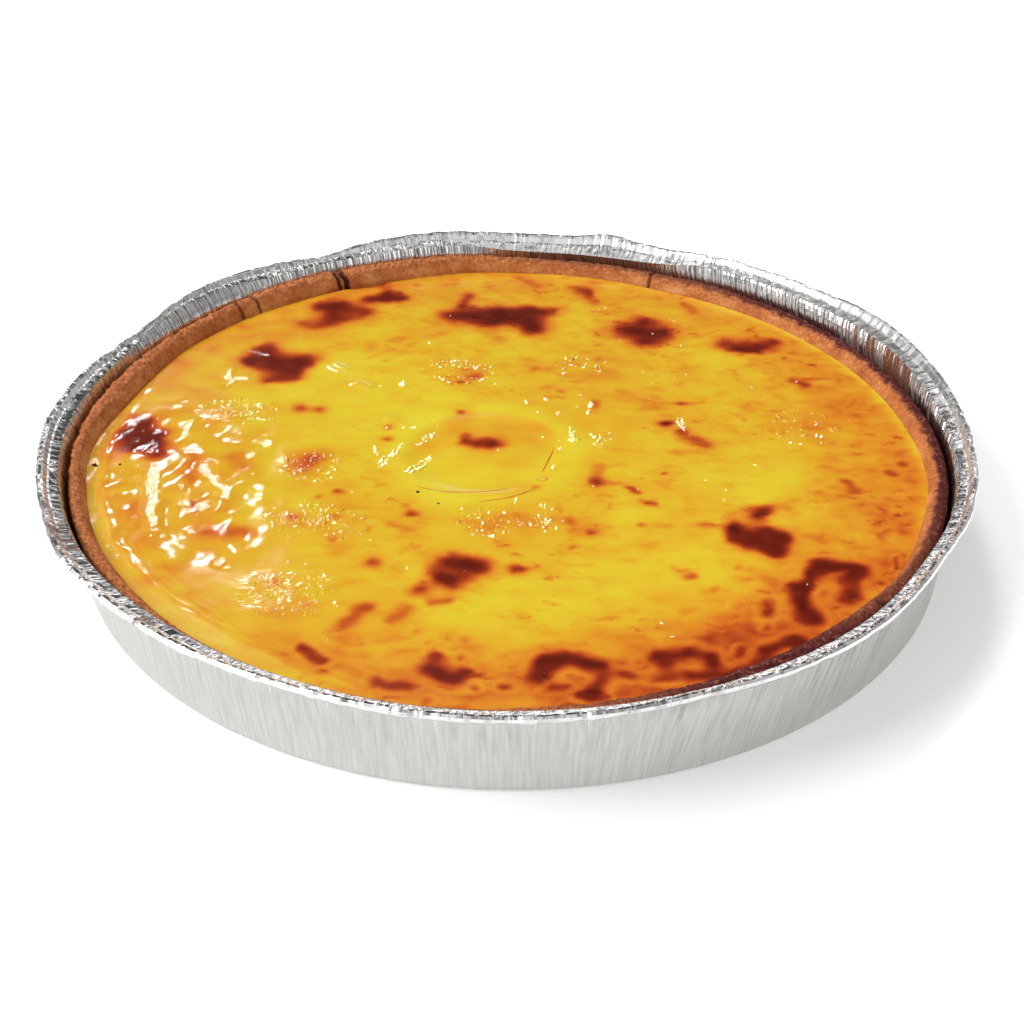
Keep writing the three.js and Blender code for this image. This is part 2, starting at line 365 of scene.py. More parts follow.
def shape_foil(mesh):
    """Bends, pleats and crimps the spun tin, and stores how its grain runs, where it is worn and stained, and
    where it has painted shade.
    """
    nominal = points_of(mesh)
    radius = np.hypot(nominal[:, 0], nominal[:, 1])
    degrees = angle_of(nominal[:, 0], nominal[:, 1])
    turn = np.radians(degrees)
    height = nominal[:, 2]
    rim = np.clip((radius - MOUTH_RADIUS) / (BEAD_RING_RADIUS - MOUTH_RADIUS), 0, 1)
    up_wall = np.clip((height - FOOT_CORNER) / (MOUTH_HEIGHT - FOOT_CORNER), 0, 1)
    wall_radius = FOOT_RADIUS + (MOUTH_RADIUS - FOOT_RADIUS) * up_wall
    inside = (rim == 0) & (height > FOOT_CORNER) & (radius < wall_radius - FOIL / 2)
    outside = (rim == 0) & ~inside
    along = np.where(radius > MOUTH_RADIUS - 1, radius - MOUTH_RADIUS + MOUTH_HEIGHT, height)
    grain = np.column_stack((MOUTH_RADIUS * np.cos(turn), MOUTH_RADIUS * np.sin(turn), along))

    mouth_out, mouth_up, bead_out, bead_up = rim_moved(degrees)
    wall_fold = pleats(degrees, *WALL_PLEATS, 11) * np.where(inside, 1.0, OUTER_PLEATS)
    valley_shade = np.clip(VALLEY_START - wall_fold / WALL_PLEATS[1], 0, 1) * inside
    drawn_out = grain * (1, 1, 1 / WRINKLE_LENGTH)
    strength = PLAIN_WRINKLES + (1 - PLAIN_WRINKLES) * near(degrees, *WRINKLED_STRETCH)
    strength *= np.clip(in_patches(grain, WRINKLE_PATCHES, 14), 0, 1)
    ridges = np.clip(1 - np.abs(lumps(drawn_out, WRINKLE_SPACING, 13)) / WRINKLE_WIDTH, 0, 1)
    wall_fold += WRINKLE_HEIGHT * strength * ridges * outside
    wall_fold *= np.minimum(up_wall * FOLD_GROWTH, 1)
    crumple = CRUMPLE_DEPTH * lumps(grain, CRUMPLE_SIZE, 5)
    uneven = in_patches(grain, UNEVEN_CRIMPS, 6)
    flange_fold = pleats(degrees, *FLANGE_CRIMPS, 21) + folds(degrees, *FLANGE_FOLDS, 23)
    flange_fold = flange_fold * uneven + crumple
    bead_fold = pleats(degrees, *BEAD_CRIMPS, 31) + folds(degrees, *BEAD_FACETS, 33)
    bead_fold = bead_fold * (1.5 - uneven) + BEAD_CRUMPLE * crumple
    wobble = folds(degrees, *RIM_WOBBLE, 41)
    curl = np.clip((radius - BEAD_RING_RADIUS + BEAD_RADIUS) / BEAD_RADIUS, 0, 1)
    underside_shade = (rim > 0) * np.clip(-UNDERSIDE_FADE * normals_of(mesh)[:, 2], 0, 1)
    centres = np.empty(len(mesh.polygons) * 3)
    mesh.polygons.foreach_get("center", centres)
    centres = centres.reshape(-1, 3)
    on_rim = np.hypot(centres[:, 0], centres[:, 1]) > MOUTH_RADIUS - 0.4
    mesh.polygons.foreach_set("use_smooth", ~on_rim)
    out = (1 - rim) * (up_wall ** MOUTH_FLARE * mouth_out + up_wall * wall_fold)
    out -= (rim == 0) * wall_flare(height)
    out += up_wall * rim * (bead_out + wobble)
    lift = up_wall * ((1 - rim) * mouth_up + rim * (bead_up + WOBBLE_LIFT * wobble))
    below_mouth = MOUTH_CRIMPS * up_wall ** MOUTH_CRIMP_FADE
    lift += flange_fold * np.where(rim > 0, np.sin(np.pi * rim) ** CRIMP_FADE, below_mouth)
    out += curl * (radius - BEAD_RING_RADIUS) / BEAD_RADIUS * bead_fold
    lift += curl * (height - BEAD_HEIGHT) / BEAD_RADIUS * bead_fold
    slant = FOLD_SLANT * np.clip(np.cos(turn), 0, 1) * (up_wall - 1) * (rim == 0)
    turn = turn + np.radians(slant)
    put_points(mesh, (radius + out) * np.cos(turn), (radius + out) * np.sin(turn), height + lift)

    store_grain(mesh, grain)
    stain = np.zeros(len(radius))
    for at, spread, on_wall, on_flange in STAINS:
        on_top = (rim > 0) & (height > CREASE_HEIGHT - 1)
        stain += near(degrees, at, spread) * (on_flange * on_top + on_wall * inside)
    paint(mesh, "stain", np.clip(stain, 0, 1))
    handled = (rim > 0) * DULL_FLANGE * near(degrees, *DULL_STRETCH)
    paint(mesh, "worn", np.clip(outside + DULL_INSIDE * inside + handled, 0, 1))
    # Painted shade: the wrinkles' ridges on the outer wall, the bottoms of the inner pleats and the rim's
    # underside are stored to be drawn darker.
    paint(mesh, "painted_crease_shade", strength * ridges * outside * up_wall + valley_shade + UNDERSIDE_SHADE * underside_shade)


def along_grain(tree, stretch):
    """The stored place along the surface, with the direction across the piece drawn out by this share."""
    grain = node(tree, "ShaderNodeAttribute", attribute_name="grain").outputs["Vector"]
    return node(tree, "ShaderNodeMapping", {"Vector": grain, "Scale": (1, 1, stretch)}).outputs[0]


def foil_finish():
    """Bright soft metal, duller on the wall, with fine creases along its pleats, painted shade in its creases
    and under the rim, and brown baked on it.
    """
    material, tree, shader = new_finish("foil")
    creases = speckle(tree, along_grain(tree, 0.06), 1300, 3, 0.6)
    blotches = speckle(tree, along_grain(tree, 0.5), 420, 3)
    stain = sharpened(tree, maths(tree, "ADD", blotches, painted(tree, "stain")), 1.2, 5.0)
    metal = ramp(tree, creases, [(0.36, (212, 211, 208)), (0.64, (198, 197, 193))])
    metal = mixed(tree, painted(tree, "worn"), (238, 237, 236), metal)
    # Painted shade: the wrinkles, the pleats' bottoms and the rim's underside turn towards a dark grey.
    metal = mixed(tree, painted(tree, "painted_crease_shade"), metal, (128, 126, 122))
    tree.links.new(mixed(tree, stain, metal, (122, 78, 56)), shader.inputs["Base Color"])
    tree.links.new(added(tree, 1.0, stain, -0.8), shader.inputs["Metallic"])
    roughness = added(tree, 0.09, painted(tree, "worn"), 0.24)
    tree.links.new(added(tree, roughness, creases, 0.16), shader.inputs["Roughness"])
    relief = maths(tree, "MULTIPLY", creases, painted(tree, "worn"))
    add_bump(tree, shader, relief, 0.4, 0.2 * MM)
    return material


foil_tin = piece_from("foil_tin_pressed", spun(foil_outline(), TIN_WEDGES, TIN_WEDGE_STEPS))
shape_foil(foil_tin.data)
foil_tin.data.materials.append(foil_finish())
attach(foil_tin, "root")
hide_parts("foil_tin")

# The pastry shell: short crust pressed into the tin by hand and baked with the filling. Its inner face is
# smooth and sandy, its ridge is rough and crumbly and browns most, and it has cracked where it shrank.
# The crust stands this far in from the foil, as thick as the CAD has it.
CAD_FOIL = 0.5
CRUST_GAP = 0.75
CRUST_UNDER = 0.8
CRUST_FLOOR = 3.8
CRUST_WALL = 6.9
CRUST_TOP = 25.0
CRUST_CORNER = 2.6
CRUST_LEAN = 3.0
CRUST_WEDGES = 40
CRUST_WEDGE_STEPS = 46
CUSTARD_LEVEL = 21.9
# Where the ridge stands higher or lower: angle, spread and how much, fading out this far below the custard.
RISE_DEPTH = 4
CRUST_RISES = [
    (77, 10, 0.3), (97, 10, 1.1), (121, 20, 2.2), (168, 26, 1.1), (248, 26, -1.8), (312, 16, 0.6),
]
# Where the wall is thicker or thinner: angle, spread, how sharp its ends are and how much.
CRUST_SWELLS = [
    (45, 32, 2, 1.6), (115, 2.6, 4, 1.3), (112, 6, 2, 0.5), (168, 10, 2, 0.7), (195, 22, 2, -0.7),
    (255, 28, 2, -1.1), (180, 9, 2, -1.6), (200, 20, 2, -1.3), (229, 13, 2, -2.1), (246, 10, 2, -0.7),
    (329, 9, 2, -2.2), (352, 10, 2, -1.0), (85, 19, 4, -1.8),
]
# Crumbs on the ridge: size and depth. It is crumbly from this far below its top, over this height, and from
# this share of the wall's width outwards, over this share. The bare face is a little rough too, down to
# this far below the custard.
CRUMBS = [(6.0, 0.35), (2.4, 0.4), (1.1, 0.4)]
CRUMBLY_BELOW = 2.2
CRUMBLY_FADE = 1.6
CRUMBLY_FROM = 0.12
CRUMBLY_FADE_ACROSS = 0.3
FACE_ROUGHNESS = 0.2
BARE_DEPTH = 3
# Cracks down the inner face: angle, half width and depth. They wander by this many degrees over this height
# and stop short of the back.
CRACK_WANDER = 0.45
CRACK_BEND = 1.3
CRACK_REACH = 0.95
CRUST_CRACKS = [
    (66.5, 0.22, 1.0), (117.9, 0.4, 1.8), (118.9, 0.3, 1.4), (133.6, 0.25, 0.9), (136.8, 0.25, 0.9),
    (320, 0.5, 1.2),
]
# Where the oven caught the ridge: angle, spread, how dark, and how far out across the ridge it starts. It
# fades in about there, with a ragged edge: size and depth of the rags.
TOAST_FADE = (-0.1, 0.16)
TOAST_RAGS = (3, 0.16)
CRUST_SCORCHES = [(299, 23, 1.0, 0.0), (36, 34, 1.0, 0.40), (348, 26, 0.85, 0.42), (78, 14, 0.3, 0.4)]


def smooth_step(value, low, high):
    share = np.clip((value - low) / (high - low), 0, 1)
    return share * share * (3 - 2 * share)


def tin_wall_radius(degrees, height, flare=MOUTH_FLARE):
    """The tin's inner wall between its foot and its mouth."""
    mouth_out, mouth_up, _, _ = rim_moved(degrees)
    share = (height - FOOT_CORNER) / (MOUTH_HEIGHT + mouth_up - FOOT_CORNER)
    bent = mouth_out * np.clip(share, 0, 1) ** flare
    return FOOT_RADIUS + (MOUTH_RADIUS - FOOT_RADIUS) * share + bent - CAD_FOIL


def crust_inner_radius(degrees):
    """The inner face where the custard meets it."""
    swells = sum(swell * near(degrees, at, spread, sharp) for at, spread, sharp, swell in CRUST_SWELLS)
    return tin_wall_radius(degrees, CUSTARD_LEVEL, 1) - CRUST_GAP - CRUST_WALL - swells


def crust_outline():
    """Floor, outer wall, rounded ridge and inner face of a shell with an even wall."""
    outer = MOUTH_RADIUS - CRUST_GAP
    inner = outer - CRUST_WALL
    return [
        (0, CRUST_UNDER, 3),
        (outer - CRUST_CORNER, CRUST_UNDER, 0),
        *arc(outer - CRUST_CORNER, CRUST_UNDER + CRUST_CORNER, CRUST_CORNER, -90, 0, 3)[1:-1],
        (outer, CRUST_UNDER + CRUST_CORNER, 7),
        (outer, CRUST_TOP - 1.6, 2),
        (outer - 0.9, CRUST_TOP - 0.5, 2),
        (outer - 2.6, CRUST_TOP, 3),
        (outer - 4.4, CRUST_TOP - 0.5, 2),
        (outer - 5.4, CRUST_TOP - 1.5, 4),
        (inner, CUSTARD_LEVEL, 2),
        (inner, CUSTARD_LEVEL - BARE_DEPTH, 1),
        (inner, CRUST_FLOOR, 1),
        (0, CRUST_FLOOR, 0),
    ]


def shape_crust(mesh):
    """Fits the shell to the bent tin, then roughens its ridge, opens its cracks and stores its browning."""
    nominal = points_of(mesh)
    radius = np.hypot(nominal[:, 0], nominal[:, 1])
    degrees = angle_of(nominal[:, 0], nominal[:, 1])
    turn = np.radians(degrees)
    outer = MOUTH_RADIUS - CRUST_GAP
    inner = outer - CRUST_WALL
    rises = sum(rise * near(degrees, at, spread) for at, spread, rise in CRUST_RISES)
    rise_start = CUSTARD_LEVEL - RISE_DEPTH
    height = nominal[:, 2] + rises * np.clip((nominal[:, 2] - rise_start) / (CRUST_TOP - rise_start), 0, 1)
    across = np.clip((radius - inner) / CRUST_WALL, 0, 1)
    face = crust_inner_radius(degrees) - CRUST_LEAN * np.clip((CUSTARD_LEVEL - height) / CUSTARD_LEVEL, 0, 1)
    back = tin_wall_radius(degrees, height) - wall_flare(height) - CRUST_GAP
    fitted = np.where(radius < inner, radius / inner * face, face + (back - face) * across)
    x, y = fitted * np.cos(turn), fitted * np.sin(turn)
    put_points(mesh, x, y, height)

    normals = normals_of(mesh)
    points = np.column_stack((x, y, height))
    crumbly = np.clip((height - CRUST_TOP - rises + CRUMBLY_BELOW) / CRUMBLY_FADE, 0, 1)
    crumbly *= np.clip((across - CRUMBLY_FROM) / CRUMBLY_FADE_ACROSS, 0, 1)
    rough = sum(depth * (0.6 - 2 * np.abs(lumps(points, size, 1 + k)))
                for k, (size, depth) in enumerate(CRUMBS))
    crack = np.zeros(len(radius))
    for at, width, depth in CRUST_CRACKS:
        down = np.column_stack((np.full(len(radius), at), height, across))
        wander = CRACK_WANDER * lumps(down, CRACK_BEND, 9)
        crack = np.maximum(crack, depth * near(degrees, at + wander, width) * (across < CRACK_REACH))
    bare = height > CUSTARD_LEVEL - BARE_DEPTH
    shift = np.maximum(crumbly, FACE_ROUGHNESS * bare) * rough - crack * bare
    points += normals * shift[:, None]
    put_points(mesh, *points.T)

    grain = np.column_stack((MOUTH_RADIUS * np.cos(turn), MOUTH_RADIUS * np.sin(turn), height))
    store_grain(mesh, grain)
    ragged = across + TOAST_RAGS[1] * lumps(points, TOAST_RAGS[0], 8)
    toast = np.zeros(len(radius))
    for at, spread, dark, start in CRUST_SCORCHES:
        caught = smooth_step(ragged, *(start + fade for fade in TOAST_FADE))
        toast += dark * near(degrees, at, spread) * caught
    paint(mesh, "toast", np.clip(toast, 0, 1))
    paint(mesh, "crumbly", crumbly)
    paint(mesh, "crack", np.clip(crack, 0, 1))


def pastry_finish():
    """Baked short crust: sandy tan faces, darker and redder crumbs along the ridge, dark where it caught."""
    material, tree, shader = new_finish("pastry")
    place = node(tree, "ShaderNodeTexCoord").outputs["Object"]
    sandy = speckle(tree, place, 900, 4, 0.65)
    patchy = speckle(tree, place, 120, 3)
    tone = added(tree, maths(tree, "MULTIPLY", patchy, 0.55), sandy, 0.45)
    colour = ramp(tree, tone, [(0.36, (162, 84, 38)), (0.5, (198, 117, 61)), (0.62, (220, 152, 90))])
    ridge = ramp(tree, sandy, [(0.32, (146, 76, 42)), (0.5, (192, 110, 60)), (0.68, (216, 150, 92))])
    colour = mixed(tree, painted(tree, "crumbly"), colour, ridge)
    charred = ramp(tree, sandy, [(0.36, (62, 16, 14)), (0.54, (98, 32, 28)), (0.70, (154, 100, 82))])
    burnt = maths(tree, "MULTIPLY", painted(tree, "toast"), maths(tree, "ADD", sandy, 0.6), clamp=True)
    colour = mixed(tree, burnt, colour, charred)
    colour = mixed(tree, painted(tree, "crack"), colour, (74, 30, 14))
    tree.links.new(colour, shader.inputs["Base Color"])
    shader.inputs["Roughness"].default_value = 0.8
    shader.inputs["Specular IOR Level"].default_value = 0.25
    add_bump(tree, shader, sandy, 0.5, 0.5 * MM)
    return material


pastry_shell = piece_from("pastry_shell_baked", spun(crust_outline(), CRUST_WEDGES, CRUST_WEDGE_STEPS))
shape_crust(pastry_shell.data)
pastry_shell.data.materials.append(pastry_finish())
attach(pastry_shell, "root")
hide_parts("pastry_shell")

# The custard: egg custard poured into the shell and baked until set. A glossy skin has formed on it, with a
# round dip in the middle that set last, brown scorches, and an edge that has drawn back along the left.
CUSTARD_CELLS = 308
CUSTARD_FLOOR = 4.2
CUSTARD_CROWN = 0.35
CUSTARD_TUCK = 0.05
SIDE_BROWNING = 0.1
RIPPLE_HEIGHT = 0.22
RIPPLE_ACROSS = 17.0
RIPPLE_ALONG = 21.0
RIPPLE_ASLANT = 29.0
FAINT_LUMPS = 5
FAINT_RELIEF = 0.03
# The edges of marks wander in random lumps of these sizes, the finest at this share.
WANDER_SIZES = (10, 3.5, 1.7)
WANDER_FINEST = 0.25
# The drawn-back edge of the skin: where (angle, spread, how sharp), how far in from the crust, where it is
# further in, how it bends (size and share), over what width it drops, how far, and how much clearer the
# custard is past it. It hardly drops along its soft front end.
SKIN_EDGE = (208, 38, 8)
SKIN_EDGE_GAP = 0.55
SKIN_EDGE_INSET = 3.6
SKIN_EDGE_SLACK = (234, 18, 2, 2.6)
SKIN_EDGE_BENDS = [(14, 0.3), (5, 0.2)]
SKIN_EDGE_WIDTH = (-0.5, 0.9)
SKIN_EDGE_DROP = 0.4
SKIN_EDGE_CLEARNESS = 0.2
SOFT_END = (244, 24, 4)
SOFT_END_SHARE = 0.8
# A low curb along the edge: where, how far inside it, how wide, how high and how it is broken into pieces.
CURB = (188, 26, 4)
CURB_INSET = 0.9
CURB_WIDTH = 0.8
CURB_HEIGHT = 0.2
CURB_PATCHES = (5, 0.6, 1)
# Long low pleats in the slack skin inside the edge: where, how far inside it, over what width, then their own
# size.
SLACK = (231, 22)
SLACK_INSET = 3.5
SLACK_WIDTH = 4.5
PLEAT_WIDTH = 1.6
PLEAT_LENGTH = 8
PLEAT_HEIGHT = 0.04
# The dip: its middle, radius, the width of its slope, its depth at the foot of the slope and the share of it
# in the middle, then the low lip round it.
DIP_MIDDLE = (-7.0, -2.0)
DIP_RADIUS = 24.0
DIP_SLOPE = 7.0
DIP_DEPTH = 0.75
DIP_MIDDLE_SHARE = 0.15
DIP_LIP_OUT = 2.0
DIP_LIP_SPREAD = 3.0
DIP_LIP_HEIGHT = 0.12
# On the left the skin lies in low waves, of these sizes and heights. They fade in from the right, the back
# and the front between these distances from the middle.
WAVES = [(7.0, 0.58), (2.4, 0.05)]
WAVES_FROM_RIGHT = (56, 80)
WAVES_FROM_BACK = (-26, -8)
WAVES_FROM_FRONT = (-70, -50)
WAVE_LENGTH = 1.6
WAVE_SLANT = 0.15
# Here and there the skin is pulled tight into a flat place that shines: how wide to each side, then the
# points that it runs through. They lie as parts of one wide dish: where its bottom is, how it bends each way
# and how it twists. Their edges wander, and fade out about their width.
TIGHT_DISH_MIDDLE = (-88.0, -20.0)
TIGHT_DISH_BEND = (0.00237, 0.00067)
TIGHT_DISH_TWIST = 0.0003
TIGHT_WANDER = (0.8, 1.2)
TIGHT_FADE = (-0.6, 1.3)
TIGHT_PLACES = [
    (2.2, (-102, -10), (-100.4, -24), (-98, -34), (-96, -43)),
    (1.6, (-88, -10), (-84, -18), (-78.5, -26.5)), (3.0, (-84.5, -31.5)), (1.2, (-92, -22)),
    (1.3, (-93, -47.5)), (2.2, (-71, 2.5)), (1.6, (-74.8, -5)), (1.4, (-91.4, -31.4)),
    (0.9, (-86.5, -44.5)), (1.6, (-75.8, -59.3)), (1.2, (-73.8, -62)), (1.5, (-66.9, -51.6)),
    (1.6, (-103, 14)), (1.2, (-95, 14), (-97, 3)), (1.3, (-93.3, -3.8)), (1.3, (-69, -28)),
    (1.0, (-105, 3)), (1.0, (-109, 3)), (0.9, (-87.8, 49), (-86.5, 42), (-88, 37)),
    (0.7, (-86, 42), (-82, 43)), (0.6, (-82, 60), (-77, 58)), (0.5, (-75, 65)), (0.7, (-99, 27)),
    (0.8, (-101, 24)), (0.7, (-104, 0), (-105, -4)),
]
# Low folds in the skin: how high, how wide to each side, then the points.
SKIN_FOLDS = [
    (0.4, 2.0, (-55, 51), (-52, 48)), (0.4, 2.0, (-47, 39), (-44, 36)), (0.3, 2.5, (-36, 18), (-32, 13)),
]
# The skin's colour runs from 0 for clear yellow to 1 for burnt. First come its usual warmth, random lumps in
# it (size and strength), streaks and flecks (their width and how drawn out), the clear lip and amber back of
# the dip (where it fades), foam and slack pleats. The dip and the left have few flecks.
PLAIN_WARMTH = 0.20
WARM_LUMPS = [(30, 0.05), (11, 0.09)]
STREAK_WARMTH = 0.06
STREAK_WIDTH = 4
STREAK_STRETCH = 0.35
MOTTLE_WARMTH = 0.16
FLECKS = (3.2, -0.05, 1)
FLECK_STRETCH = 0.6
MOTTLE_PAST_DIP = 14
MOTTLE_FROM_LEFT = (-75, -25)
LEFT_MOTTLE = 0.25
LIP_CLEARNESS = 0.10
DIP_WARMTH = 0.09
DIP_WARM_FADE = 2.5
DIP_BACK = (-8, 18)
FOAM_WARMTH = 0.04
PLEAT_WARMTH = 0.16
# It is warmer towards the crust, between these shares of the way out, most on these stretches (angle,
# spread, how much), with a thin clear line against the crust on the right (angle and spread).
EDGE_WARMTH = 0.11
EDGE_REACH = (0.62, 0.98)
WARM_EDGES = [(300, 42, 0.20), (5, 45, 0.05)]
CLEAR_LINE = (15, 40)
CLEAR_LINE_WIDTH = 2.4
CLEAR_LINE_CLEARNESS = 0.18
# Where the skin is warmer or clearer than elsewhere: the middle, how wide and by how much.
WARM_PLACES = [
    (-38, 18, 22, -0.13), (-18, -22, 13, -0.14), (18, 2, 11, -0.08), (6, -74, 19, -0.14),
    (56, -62, 13, -0.13), (72, -20, 15, -0.08), (-60, 50, 16, -0.07), (20, 80, 12, -0.07),
    (0, -40, 11, 0.16), (30, 44, 26, 0.07), (-58, -76, 16, -0.08), (-40, -42, 12, 0.05), (84, 10, 15, 0.04),
    (20, -42, 9, 0.05),
]
# Scorches: how dark, how wide to each side, then the points that the mark runs through. Each fades out by a
# multiple of its width and a soft edge, has a faint halo, wanders, and is blotchy (size and strength).
SCORCH_DARKEST = 0.92
SCORCH_REACH = 1.5
SCORCH_SOFTNESS = 1.2
SCORCH_SOFTEST = 2.4
SCORCH_WANDER = (1.6, 0.8)
SCORCH_BLOTCHES = (4.5, 0.12)
SCORCH_STREAKS = 0.06
HALO_WIDTH = 6
HALO_WARMTH = 0.10
SCORCHES = [
    (0.95, 6.5, (-61, 92), (-58, 83)), (0.80, 5.5, (-58, 94), (-49, 88)), (0.62, 3.5, (-68, 80), (-63, 79)),
    (0.95, 3.2, (-47, 98), (-37, 99)), (0.85, 3.0, (-42, 102)), (0.80, 2.5, (-49, 110), (-44, 109)),
    (0.78, 2.8, (-14, 100), (-16, 93)), (1.00, 5.5, (-18, 84), (-4, 88)), (1.00, 6.5, (-6, 82), (6, 88)),
    (1.00, 6.0, (5, 86), (8, 77)), (0.80, 3.0, (10, 90), (14, 90)), (0.90, 4.0, (-82, 54), (-79, 60)),
    (0.85, 6.0, (-74, 54), (-69, 46)), (0.70, 5.0, (-66, 53), (-64, 55)), (0.70, 3.0, (-75, 42), (-68, 43)),
    (0.60, 2.0, (-77, 62), (-77, 66)), (0.80, 5.0, (-76, 52), (-67, 52)),
    (0.95, 5.0, (-110, 14), (-108, 3)), (0.95, 4.5, (-104, 6), (-102, -4)),
    (0.85, 4.0, (-112, 8), (-111, -1)), (0.68, 2.2, (-63, 24)), (0.70, 2.2, (-57, 23)),
    (0.65, 2.2, (-11, 44)), (0.62, 1.2, (-15, 40)), (0.86, 2.2, (-12, 4), (-9, 3)), (0.92, 2.8, (-5, 3)),
    (0.50, 1.4, (-13, 8)), (0.50, 3.0, (-87, 76)), (0.45, 2.5, (-94, 62)), (0.42, 2.5, (-45, 63)),
    (0.42, 4.0, (-105, 52)), (0.40, 2.0, (-5, 68)), (0.60, 1.3, (-36, 12)), (0.75, 1.3, (-14.5, 21)),
    (0.60, 1.2, (-36, 5)), (0.68, 3.0, (22, 107), (26, 104)), (0.55, 2.2, (26, 104), (29, 97)),
    (0.55, 2.5, (3, 118), (9, 109)), (1.00, 6.5, (38, 77), (49, 75)), (0.90, 5.0, (45, 83)),
    (0.95, 5.0, (45, 70)), (0.84, 4.6, (70, 67), (83, 65)), (1.00, 2.0, (74, 63), (79, 62)),
    (0.75, 3.0, (85, 68)), (0.55, 1.8, (59, 96), (61, 91)), (0.75, 2.2, (89, 43), (91, 39)),
    (0.50, 1.0, (93, 43), (99, 43)), (0.98, 2.0, (46, 14)), (0.68, 2.5, (52, 9), (57, 3)),
    (0.62, 1.4, (26.5, 27), (26.5, 23)), (0.45, 1.0, (44, 27), (58, 27.5)), (0.50, 1.3, (52, 28)),
    (0.45, 2.0, (72, 26)), (0.60, 1.2, (15, 35)), (0.52, 1.5, (8, 49)), (0.48, 1.5, (28, 56)),
    (0.45, 1.0, (102, 25), (105, 31)), (0.50, 1.3, (78, 12)), (0.75, 1.3, (-47, -24.5)),
    (0.85, 1.8, (-27, -35)), (0.60, 1.0, (-29, -31)), (0.78, 2.5, (-35, -60)),
    (0.50, 1.5, (-32, -41), (-27, -44)), (0.70, 1.2, (-59, -37)), (0.55, 1.8, (-47, -37)),
    (0.65, 1.3, (-47, -49)), (0.45, 1.4, (-61, -69)), (0.60, 1.2, (-53, -27)),
    (1.00, 5.0, (-15, -59), (-9, -61)), (1.00, 4.0, (-17, -66), (-15, -67)), (0.80, 2.3, (-23, -72)),
    (0.65, 1.6, (-20, -77), (-16, -76)), (0.68, 2.0, (-42, -87), (-36, -81)),
    (0.60, 1.8, (-29, -84), (-26, -80)), (0.85, 1.6, (-50, -97), (-45, -101)),
    (0.80, 1.8, (-31, -109), (-24, -111)), (0.95, 3.5, (-18, -104), (-12, -109)), (0.80, 1.8, (-17, -100)),
    (0.80, 1.5, (-10, -106)), (0.60, 1.5, (-11, -100)), (0.55, 1.3, (-11, -92)), (0.65, 1.2, (-7, -113)),
    (0.60, 1.5, (-19, -117)), (0.60, 4.5, (-59, -10), (-56, -6)), (0.60, 3.5, (-82, -46), (-72, -45)),
    (0.52, 3.0, (-79, -6), (-76, -11)), (0.55, 3.2, (-92, -5), (-90, -18)), (0.45, 4.0, (-103, -34)),
    (0.70, 0.8, (-88, -29), (-86, -34)), (0.55, 1.8, (26, -11), (25, -19)),
    (0.50, 1.8, (25, -20), (31, -20)), (0.70, 1.0, (34, -22), (36.5, -25)),
    (0.60, 0.8, (37, -29), (41, -30)), (0.70, 1.0, (45, -14)), (0.65, 1.2, (37, -40.5)),
    (0.55, 1.5, (54, -41)), (0.60, 2.0, (17, -39)), (0.65, 1.4, (22, -43)), (0.60, 1.0, (18, -50)),
    (0.55, 1.2, (8, -21)), (0.60, 1.3, (48, -64)), (0.40, 1.2, (44, -60), (48, -62)),
    (0.50, 1.0, (61, -62)), (0.50, 1.0, (53, -71)), (0.50, 2.0, (40, -87)),
    (0.60, 0.8, (51, -85), (54, -87)), (0.75, 2.2, (2, -62)), (0.45, 1.0, (4, -62), (8, -60)),
    (0.85, 2.0, (68, -36), (70, -33)), (0.50, 2.0, (62, -34), (66, -32)), (0.40, 1.3, (72, -31), (77, -32)),
    (0.98, 3.8, (62, -42), (65, -48)), (1.00, 5.0, (65, -48), (72, -49)), (0.95, 3.0, (70, -43), (74, -46)),
    (0.95, 2.5, (71, -53)), (1.00, 3.5, (84, -60), (92, -62), (89, -66)), (0.95, 2.6, (82, -61), (76, -70)),
    (1.00, 3.0, (75, -70), (76, -78), (77, -84)), (0.90, 3.0, (90, -72), (88, -75)),
    (0.78, 2.0, (66, -77), (66, -81)), (0.75, 1.2, (66, -87)), (1.00, 3.0, (7, -108), (9, -104)),
    (1.00, 2.8, (9, -103), (15, -100), (22, -103)), (0.80, 1.5, (11, -113), (14, -112)),
    (0.85, 2.0, (24, -107), (20, -114)), (0.75, 1.5, (28, -105)), (0.80, 1.2, (18, -115), (24, -114)),
    (0.95, 2.8, (38, -99), (45, -97)), (0.90, 2.2, (39, -102)), (0.95, 2.2, (50, -98), (50, -101)),
    (0.90, 2.5, (45, -107), (55, -105)), (0.80, 1.8, (35, -108), (40, -107)),
    (0.90, 2.0, (57, -104), (64, -99)), (0.80, 1.2, (57, -97), (58, -95)),
    (0.95, 2.2, (64, -97), (70, -93)), (0.95, 1.8, (72, -91), (73, -93)), (0.70, 1.5, (30, -107)),
    (0.60, 1.0, (32, -101)), (0.80, 1.5, (0, -112)), (0.70, 1.6, (96, -17), (98, -22)),
    (0.78, 1.6, (113, -6)), (0.75, 1.8, (109, -11)), (0.60, 1.2, (101, -46), (104, -43)),
    (0.70, 0.8, (103, -56), (103, -60)), (0.75, 1.5, (97, -68)),
]
# Patches of fine foam: the middle, half widths across and along, and how many blisters to a square
# millimetre, with the number that makes full foam. They wander, fade out and have gaps.
FULL_FOAM = 0.28
FOAM_WANDER = (2.0, 2.0)
FOAM_FADE = (0.3, 1.2)
FOAM_GAPS = (4, 0.75, 1)
FOAM_PATCHES = [
    (-82, 21, 13, 8, 0.24), (-17, 46, 12, 8, 0.26), (-57, -11, 9, 9, 0.28), (-56, -37, 11, 8, 0.28),
    (-57, -74, 14, 11, 0.28), (-5, -40, 9, 7, 0.26), (9, -37, 8, 7, 0.24), (-44, -42, 6, 8, 0.24),
    (-107, 5, 8, 12, 0.08), (27, 5, 3, 6, 0.5), (22, 52, 9, 8, 0.12), (88, 14, 10, 12, 0.10),
]


